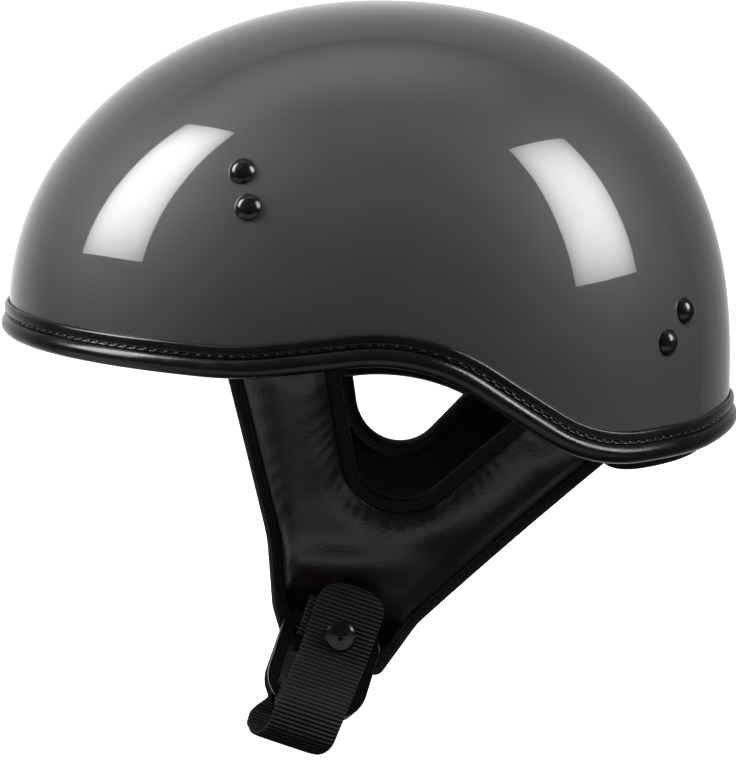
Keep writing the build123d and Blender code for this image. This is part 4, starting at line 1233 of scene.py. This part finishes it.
@dataclass
class AnchorWebs:
    """Webbing that carries the covers: riveted along the shell's wall, then bent in to each cover.

    A row holds x and z of its rivets, the lean of their row and of the web, and its foot's shares on the cover.
    """

    shop: Shop
    cover: EarCover
    strap: Strap
    rows: tuple[tuple[str, float, float, float, float, float, float], ...] = (
        ("front", -45.9, -20.2, 10.5, 10.5, -0.388, 0.83), ("rear", 115.4, -74.8, -33.0, -45.0, 0.371, 0.875))
    pitch: float = 12.4
    margin: float = 9.0
    inset: float = 5.6
    leaves_lift: float = 10.0
    foot_lift: float = 5.6
    depth: float = 5.35
    joint: tuple[float, float] = (-2.6, 10.2)
    soften: int = 7

    def build(self, side: Side) -> None:
        """Builds one side's two webs.

        Args:
            side: Side of the wearer.
        """
        for row, *numbers in self.rows:
            wall, wall_across = self._wall(*numbers[:4])
            foot, foot_across = self._foot(*numbers[4:])
            share = np.linspace(0, 1, 60)[1:, None]
            line = np.concatenate([wall, wall[-1] * (1 - share) + foot * share])
            sideways = unit(np.concatenate([wall_across, wall_across[-1] * (1 - share) + foot_across * share]))
            kernel = np.hanning(2 * self.soften + 1) / np.hanning(2 * self.soften + 1).sum()
            padded = np.pad(line, ((self.soften,) * 2, (0, 0)), mode="reflect", reflect_type="odd")
            soft = np.stack([np.convolve(column, kernel, mode="valid") for column in padded.T], axis=1)
            steps = np.arange(0, lengths(soft)[-1], self.strap.rib_pitch / 6)
            place, across = sampled(steps, soft, soft), unit(sampled(steps, soft, sideways))
            half = np.full(len(steps), self.strap.width / 2)
            self.shop.put(f"{row}_anchor_strap_{side.word}",
                          self.strap.band(side.mirrored(place), side.mirrored(across), half), Look.WEBBING,
                          "helmet", f"{row}_anchor_web_{side.word}")

    def _wall(self, x: float, z: float, row_lean: float, web_lean: float) -> tuple[Points, Points]:
        """Run of the web along the wall, from above the rivets to where it leaves.

        Args:
            x: Place of the row of rivets.
            z: Its height.
            row_lean: Lean of the row, in degrees.
            web_lean: Lean of the web, in degrees.

        Returns:
            Points along the wall, and the directions of the web's width.
        """
        row, web = np.radians(row_lean), np.radians(web_lean)
        run = np.array([np.sin(web), -np.cos(web)])
        middle = np.array([x, z]) + np.array([np.sin(row), -np.cos(row)]) * self.pitch / 2
        flat = middle - run * (self.pitch / 2 + self.margin) + np.arange(0, 120, 0.8)[:, None] * run
        flat = flat[flat[:, 1] > self.shop.brim.height(flat[:, 0], self.leaves_lift)]
        half = np.array([-run[1], run[0]]) * self.strap.width / 2
        before, line, after = (self.shop.dome.beside(*(flat + way * half).T, self.inset) for way in (-1, 0, 1))
        return line, unit(after - before)

    def _foot(self, along: float, up: float) -> tuple[Points, Points]:
        """Place above a leg's head where the web ends.

        Args:
            along: Share of the cover's length where the leg's line starts.
            up: Share of its height.

        Returns:
            The place, and the direction of the web's width.
        """
        start = np.array([along * self.cover.length, up * self.cover.height])
        run = unit(np.array(self.joint) - start)
        spots = start + np.linspace(-25, 25, 400)[:, None] * run
        places = self.cover.on_cover(*spots.T, self.depth)
        nearest = np.argmin(np.abs(places[:, 2] - self.shop.brim.height(places[:, 0], self.foot_lift)))
        beside = spots[nearest] + np.array([-run[1], run[0]])
        return places[nearest], unit(self.cover.on_cover(beside[:1], beside[1:], self.depth)[0] - places[nearest])


@dataclass
class Buckle:
    """The D-rings' places and the straps that run through them."""

    shop: Shop
    cover: EarCover
    ring_height: float = 36.0
    ring_thickness: float = 1.6
    ring_bar: float = 5.0
    ring_slot: float = 5.5
    ring_tilt: float = 30.0
    ring_stagger: float = 2.0
    ring_gap: float = 0.7
    bar_out: float = 55.6
    gap: float = 0.3
    web: float = 1.4
    shift: float = -2.6
    web_depth: float = 5.35
    root_up: float = -16.52
    chin_drop: float = 43.0
    tail_drop: float = 44.0
    tail_swell: float = 21.0
    tail_top: float = 19.5
    tip: float = 10.5
    fold_radius: float = 8.5
    fold_out: float = 10.5
    fold_sweep: float = 5.4
    sweep_steps: tuple[tuple[float, float, float], ...] = ((27.0, 13.0, 1.25), (9.0, 0.0, -0.25))
    stud_flange: float = 0.8
    snap_clearance: float = 0.65
    washer_room: float = 1.2
    loop_radius: float = 2.1
    loop_slack: float = 0.75
    socket_thickness: float = 1.8
    snap_diameter: float = 11.4
    tab_width: float = 20.0
    tab_thickness: float = 0.6
    tab_length: float = 9.5
    strap_top: float = 34.0
    strap_end: float = 10.5
    weave: tuple[tuple[bool, float, float], ...] = ((False, 0.5, -1.95), (False, -6.4, -1.95), (True, -4.4, 1.4),
                                                    (True, 2.0, 1.0), (False, -4.3, -1.0), (False, 2.2, -1.0))
    weave_radii: tuple[float, ...] = (2.8, 1.0, 1.2, 1.0, 0.8, 1.5, 1.7)

    @property
    def wrap(self) -> float:
        """Distance from a ring's middle plane to the webbing that lies on it."""
        return self.ring_thickness / 2 + self.gap + self.web / 2

    def upper(self, down: float, outward: float) -> tuple[float, float]:
        """Place beside the leaning upper ring, as (out, up)."""
        tilt, run = np.radians(self.ring_tilt), down - self.ring_bar / 2
        return (self.bar_out + run * np.sin(tilt) + outward * np.cos(tilt),
                -run * np.cos(tilt) + outward * np.sin(tilt))

    def lower(self, down: float, outward: float) -> tuple[float, float]:
        """Place beside the lower ring, as (out, up)."""
        return (self.bar_out - self.ring_thickness - self.ring_gap + outward,
                self.ring_bar / 2 - self.ring_stagger - down)

    def inside(self, up: float) -> tuple[float, float]:
        """Place of the webbing's layer inside the cover at a height, as (out, up)."""
        return float(self.cover.bend(np.full(1, up), self.web_depth)[0]), up

    def build(self) -> None:
        """Builds the straps and dresses rings and snap."""
        put, strap, seam = self.shop.put, Strap(self.shop.frame), self.cover.seam
        inner = self.lower(0, -self.wrap - self.gap)[0]
        outer = self.bar_out + self.ring_thickness / 2 + self.web + self.gap + self.washer_room
        foot = self.lower(self.ring_bar, 0)[1] - self.loop_slack - self.web / 2
        top = (self.inside(self.strap_top)[0], self.strap_top - self.gap)
        short = [top, self.inside(seam * 1.2), (inner, seam / 5), (inner, foot), (outer, foot),
                 (outer, self.strap_end)]
        radii = [seam, self.ring_bar, self.loop_radius, self.loop_radius]
        put("short_strap_web", strap.along(short, radii), Look.WEBBING, "left_harness", "short_strap")
        root = [(-out, up) for out, up in (top, self.inside(self.strap_top * 0.3), self.inside(self.root_up))]
        put("strap_root_web", strap.along(root, [self.cover.arc()[1] / 2]), Look.WEBBING, "right_harness",
            "long_strap_root")
        self._long_strap(strap, -root[2][0], outer)
        tab = Strap(self.shop.frame, self.tab_width, self.tab_thickness, self.shift, 0.9, 0.04)
        reach = self.ring_thickness / 2 + self.gap + self.tab_thickness / 2
        slot = self.ring_bar + self.ring_slot
        high, low = slot - self.gap / 2 - self.tab_thickness / 2, slot + self.tab_length
        loop = [self.upper(down, out) for down, out in ((low, reach), (high, reach), (high, -reach), (low, -reach))]
        put("tab_ribbon", tab.along(loop, [self.tab_thickness] * 2), Look.TAB, "buckle", "release_tab")
        self.shop.dress(Look.RING, "upper_ring", "lower_ring")
        self.shop.dress(Look.SNAP, "snap_cap", "snap_socket", "snap_stud")

    def _long_strap(self, strap: Strap, root_out: float, outer: float) -> None:
        """Builds the chin strap and its folded tail.

        Args:
            strap: Webbing of the long strap.
            root_out: Distance out where the strap leaves the right cover.
            outer: Distance out of the short strap's outer layer.
        """
        tail_out = self.bar_out + self.tail_swell
        fold = tail_out - self.fold_out
        chin = [(-root_out, self.root_up - 0.35), (-root_out * 0.93, -self.chin_drop * 0.74),
                (-root_out * 0.55, -self.chin_drop), (root_out * 0.85, -self.chin_drop)]
        chin += [(self.upper if in_upper else self.lower)(self.ring_height + down * self.wrap, out * self.wrap)
                 for in_upper, down, out in self.weave]
        chin += [(fold - self.fold_radius, -self.tail_drop), (fold, -self.tail_drop)]
        radii = [self.chin_drop * share for share in (0.3, 0.35, 0.3)]
        radii += [self.wrap * share for share in self.weave_radii]
        chin_end = lengths(filleted(chin, radii, 0.3))[-1]

        def chin_centre(run: Points) -> Points:
            """Middle line of the chin strap, swept forward in steps as it nears the fold."""
            return self.shift - self.fold_sweep * sum(smoothstep(chin_end - start, chin_end - end, run) * share
                                                      for start, end, share in self.sweep_steps)

        self.shop.put("chin_strap_web", strap.along(chin, radii, chin_centre), Look.WEBBING, "buckle", "chin_strap")
        stud_base = outer + self.web / 2 + self.gap / 3
        socket_base = stud_base + self.stud_flange + self.snap_clearance
        lay_out = socket_base + self.socket_thickness + self.gap / 3 + self.web / 2
        tail = [(fold + self.gap, -self.tail_drop), (tail_out, -self.tail_drop), (tail_out, -self.tail_drop * 0.62),
                (lay_out, -self.snap_diameter * 0.7), (lay_out, self.tail_top)]
        radii = [self.fold_radius, self.fold_radius * 1.5, self.fold_radius * 1.5]
        end = lengths(filleted(tail, radii, 0.3))[-1]

        def centre(run: Points) -> Points:
            """Middle line, swept back from the fold and then skewed from the chin strap's to the snap's."""
            skew = self.shift * (1 - smoothstep(self.fold_out, end - self.tail_top, run))
            return skew - self.fold_sweep * (1 - smoothstep(-1.0, 15.0, run))

        def half_width(run: Points) -> Points:
            """Half width: w until the end, then w (1 - t^3.2)^(1 / 2.6) round the tip."""
            share = np.clip((run - end + self.tip) / self.tip, 0, 0.9995)
            return strap.width / 2 * (1 - share ** 3.2) ** (1 / 2.6)

        self.shop.put("tail_web", strap.along(tail, radii, centre, half_width), Look.WEBBING, "strap_tail",
                      "strap_tail")


@dataclass
class HeadPad:
    """A crowned pad on the inside of the dome, between two angles and two heights above the brim."""

    name: str
    node: str
    first_turn: float
    last_turn: float
    low: float = 14.5
    high: float = 47.5
    inset: float = 28.3
    thickness: float = 6.2
    crown: float = 1.4

    def build(self, shop: Shop) -> None:
        """Builds the pad.

        Its section is a superellipse of power 3.4 in height and inset, and it draws in at both ends as
        (1 - t^8)^(1/5) of the share t from the middle.

        Args:
            shop: What the sub-assemblies share.
        """
        share = np.linspace(-0.999, 0.999, 120)[:, None]
        turn = np.radians(self.first_turn + (self.last_turn - self.first_turn) * (share + 1) / 2)
        draw = (1 - np.abs(share) ** 8) ** (1 / 5)
        x, y = oval(48, 2 / 3.4, 2 / 3.4)
        lift = (self.low + self.high) / 2 + x * ((self.high - self.low) / 2) * draw ** 0.5
        swell = self.crown * np.clip(1 - x ** 2, 0, 1) * draw
        inset = (self.inset + self.thickness / 2 + y * self.thickness / 2 * draw
                 + np.where(y > 0, swell - self.crown, 0))
        pad = Surface(shop.brim.run(turn, lift, inset))
        shop.put(self.name, pad, Look.LINING, "helmet", self.node, fill=0.7)


@dataclass
class Interior:
    """Liner, crown pad, headband pads and neck roll, with the rivets and their washers."""

    shop: Shop
    crown_radius: float = 52.0
    crown_inset: float = 28.3
    crown_depth: float = 2.8
    pads: tuple[HeadPad, ...] = (
        HeadPad("brow_cushion", "brow_pad", 126, 234), HeadPad("rear_cushion", "rear_pad", -61, 61),
        HeadPad("side_cushion_left", "side_pad_left", 67, 114),
        HeadPad("side_cushion_right", "side_pad_right", 246, 293),
        HeadPad("neck_cushion", "neck_roll", -45.5, 45.5, -7.2, 11.3, 7.4, 14.4, 1.2))

    def build(self) -> None:
        """Builds the pads and dresses the liner, rivets and washers."""
        self.shop.dress(Look.RIVET, "rivets_left", "rivets_right")
        self.shop.dress(Look.WASHER, "rivet_washers_left", "rivet_washers_right")
        self.shop.dress(Look.FOAM, "foam_liner")
        self._crown()
        for pad in self.pads:
            pad.build(self.shop)

    def _crown(self) -> None:
        """Builds the crown pad: a disc of rings whose inner face swells as c (1 - r^2), with a rolled edge."""
        dome, share, turn = self.shop.dome, np.linspace(0.02, 1.0, 40), circle(96)[None]
        ring = np.concatenate([share, share[::-1]])[:, None]
        inner = np.repeat([0.0, 1.0], 40)[:, None]
        x = dome.apex_x + self.crown_radius * ring * np.cos(turn)
        y = self.crown_radius * ring * np.sin(turn)
        roll = np.sqrt(np.clip(1 - np.clip((ring - 0.9) / 0.1, 0, 1) ** 2, 0, 1))
        inset = (self.crown_inset + self.crown_depth - self.crown_depth * roll * (1 - inner)
                 + inner * roll * (3.4 - 0.3 * ring ** 2))
        reach, drop = (np.where(x < dome.apex_x, *pair) - inset for pair in zip(dome.front[:2], dome.rear[:2]))
        bend = np.sqrt(np.clip(1 - ((x - dome.apex_x) / reach) ** 2 - (y / (dome.side[0] - inset)) ** 2, 0, 1))
        z = dome.crown - inset - drop * (1 - bend) * 0.9
        pad = Surface(np.stack([x, y, z], axis=-1))
        self.shop.put("crown_cushion", pad, Look.LINING, "helmet", "crown_pad", fill=0.6)


@dataclass(frozen=True)
class Panel:
    """A glowing panel that only lights and mirrors show, given by its four corners."""

    name: str
    corners: tuple[tuple[float, float, float], ...]
    glow: float
    fade: Fade
    edge: float = 0.45
    lights: bool = False
    tone: Colour = WHITE

    def build(self) -> None:
        """Builds the panel: P(x, y) is the even blend of its corners, with x and y from -1 to 1."""
        top_left, top_right, low_right, low_left = self.corners
        points = np.array([[low_left, low_right], [top_left, top_right]])
        share = np.array([[(-1.0, -1.0), (1.0, -1.0)], [(-1.0, 1.0), (1.0, 1.0)]])
        graph = Graph(self.name)
        light = graph.tint(self._falloff(graph), BLACK, self.tone)
        mesh = Surface(points, Form.SHEET, share).mesh(self.name)
        mesh.materials.append(graph.surface((*BLACK, 1.0), 0.5, 0.0,
                                            {"Emission Color": light, "Emission Strength": self.glow}))
        panel = add(self.name, mesh)
        panel.visible_camera = panel.visible_shadow = False
        panel.visible_diffuse = self.lights

    def _falloff(self, graph: Graph) -> Value:
        """Share of the glow at each place of the panel.

        A softbox keeps its light until near the rim: (1 - (1 - e) |x|^3) (1 - (1 - e) |y|^3). A glow dies
        away as (1 - x^2)^2 (1 - y^2)^2, and a far wall as (1 + 4.6 (x^2 + y^2))^-1.3.

        Args:
            graph: Node tree of the panel's material.

        Returns:
            The share.
        """
        x, y = graph.cloth_place()
        if self.fade is Fade.SOFTBOX:
            return ((1 - x.absolute().power(3.0) * (1 - self.edge))
                    * (1 - y.absolute().power(3.0) * (1 - self.edge)))
        if self.fade is Fade.GLOW:
            return (1 - x * x).power(2.0) * (1 - y * y).power(2.0)
        return ((x * x + y * y) * 4.6 + 1.0).power(-1.3)


@dataclass(frozen=True)
class Fill:
    """A broad square light, placed by its angles from the camera's side and above the level, in degrees."""

    name: str
    azimuth: float
    elevation: float
    power: float
    size: float


@dataclass
class Studio:
    """Pale floor and backdrop, soft lights and the camera."""

    elevation: float = 9.0
    distance: float = 1600.0
    target: tuple[float, float, float] = (-0.8, 0.0, -109.8)
    focal_pixels: float = 4192.0
    frame_pixels: float = 760.0
    sensor: float = 36.0
    floor_z: float = -262.0
    floor_depth: float = 1500.0
    floor_reach: float = 4000.0
    floor_bend: float = 600.0
    ambient: float = 0.05
    paper_glow: float = 0.86
    fill_distance: float = 1500.0
    fills: tuple[Fill, ...] = (Fill("overhead", 4.0, 80.0, 19.0, 1600.0), Fill("front_fill", -78.0, 12.0, 7.0, 900.0))
    panels: tuple[Panel, ...] = (
        Panel("softbox_left", ((-827, 159, 928), (-759, -249, 1129), (-997, -431, 218), (-1031, 64, 155)), 17.6,
              Fade.SOFTBOX, lights=True),
        Panel("softbox_right", ((736, -468, 935), (883, -53, 807), (1055, -141, 101), (934, -585, 108)), 15.6,
              Fade.SOFTBOX, lights=True),
        Panel("sky_glow", ((-1500, 900, 1400), (1100, 900, 1400), (1100, -450, 1400), (-1500, -450, 1400)), 0.75,
              Fade.GLOW),
        Panel("rim_wall", ((-2180, 900, 1730), (1680, 900, 1730), (1680, 900, -2130), (-2180, 900, -2130)), 1.1,
              Fade.FAR),
        Panel("table_front", ((-620, -120, -258), (620, -120, -258), (620, -440, -258), (-620, -440, -258)), 0.72,
              Fade.SOFTBOX, 0.0, tone=WARM),
        Panel("table_left", ((-620, 100, -258), (-120, 100, -258), (-120, -420, -258), (-620, -420, -258)), 0.85,
              Fade.SOFTBOX, 0.0, tone=WARM))

    def build(self) -> None:
        """Builds the whole studio."""
        self._camera()
        self._paper()
        self._world()
        for panel in self.panels:
            panel.build()
        for fill in self.fills:
            self._fill(fill)

    def _camera(self) -> None:
        """Puts the camera on a circle about the target at the photograph's elevation."""
        lens = bpy.data.cameras.new("camera")
        lens.sensor_width = self.sensor
        lens.lens = self.focal_pixels / self.frame_pixels * self.sensor
        lens.clip_end = 100.0
        camera = add("camera", lens)
        self._aim(camera, 0.0, self.elevation, self.distance)
        bpy.context.scene.camera = camera

    def _aim(self, thing: bpy.types.Object, azimuth: float, elevation: float, distance: float) -> None:
        """Places a camera or light about the target and turns it to it.

        Args:
            thing: The camera or light.
            azimuth: Angle from the camera's side towards +X, in degrees.
            elevation: Angle above the level, in degrees.
            distance: Distance from the target.
        """
        turn, rise = np.radians(azimuth), np.radians(elevation)
        offset = Vector((np.sin(turn) * np.cos(rise), -np.cos(turn) * np.cos(rise), np.sin(rise)))
        thing.location = Vector(self.target) * MM + offset * (distance * MM)
        thing.rotation_euler = (-offset).to_track_quat("-Z", "Y").to_euler()

    def _paper(self) -> None:
        """Floor and backdrop: flat, then a quarter turn of radius r, then upright, as two sheets."""
        turn = np.linspace(0, np.pi / 2, 24)
        near = np.array([(-self.floor_reach, 0.0), (self.floor_depth, 0.0)])
        bend = np.stack([self.floor_depth + self.floor_bend * np.sin(turn),
                         self.floor_bend * (1 - np.cos(turn))], axis=1)
        far = np.concatenate([bend, [(self.floor_depth + self.floor_bend, self.floor_reach)]])
        across = np.array([-self.floor_reach, self.floor_reach])[None, :]
        graph = Graph("studio_paper")
        mottle = graph.tint(graph.noise(3.0).mapped(0.3, 0.7), times(WHITE, 0.84), times(WHITE, 0.86))
        paper = graph.surface(mottle, 0.9, 0.0, {"Emission Color": (*WHITE, 1.0),
                                                 "Emission Strength": self.paper_glow})
        for name, run in (("floor", near), ("backdrop", far)):
            grid = np.broadcast_arrays(across, run[:, :1], run[:, 1:] + self.floor_z)
            mesh = Surface(np.stack(grid, axis=-1), Form.SHEET).mesh(name)
            mesh.materials.append(paper)
            sheet = add(name, mesh)
            sheet.visible_diffuse = sheet.visible_glossy = False

    def _world(self) -> None:
        """Dim even surroundings."""
        world = bpy.data.worlds.new("studio")
        world.use_nodes = True
        background = world.node_tree.nodes["Background"]
        background.inputs["Color"].default_value = (*WHITE, 1.0)
        background.inputs["Strength"].default_value = self.ambient
        bpy.context.scene.world = world
        bpy.context.scene.view_settings.view_transform = "Standard"

    def _fill(self, fill: Fill) -> None:
        """Adds one light aimed at the target, which the glossy shell doesn't mirror.

        Args:
            fill: The light's place, power in watts and size.
        """
        light = bpy.data.lights.new(fill.name, "AREA")
        light.size = fill.size * MM
        light.energy = fill.power
        lamp = add(fill.name, light)
        lamp.visible_glossy = False
        self._aim(lamp, fill.azimuth, fill.elevation, self.fill_distance)


def main() -> None:
    """Builds the studio and every sub-assembly in order."""
    logging.basicConfig(level=logging.INFO, format="%(message)s")
    Studio().build()
    dome = Dome()
    shop = Shop(dome, Brim(dome), StrapFrame(), {look: look.value[0].build() for look in Look})
    Shell(shop).build()
    Trim(shop).build()
    Interior(shop).build()
    covers = {side: EarCover(shop, side) for side in Side}
    anchors = AnchorWebs(shop, covers[Side.LEFT], Strap(shop.frame))
    for side in Side:
        covers[side].build()
        anchors.build(side)
    Buckle(shop, covers[Side.LEFT]).build()


if __name__ == "__main__":
    main()
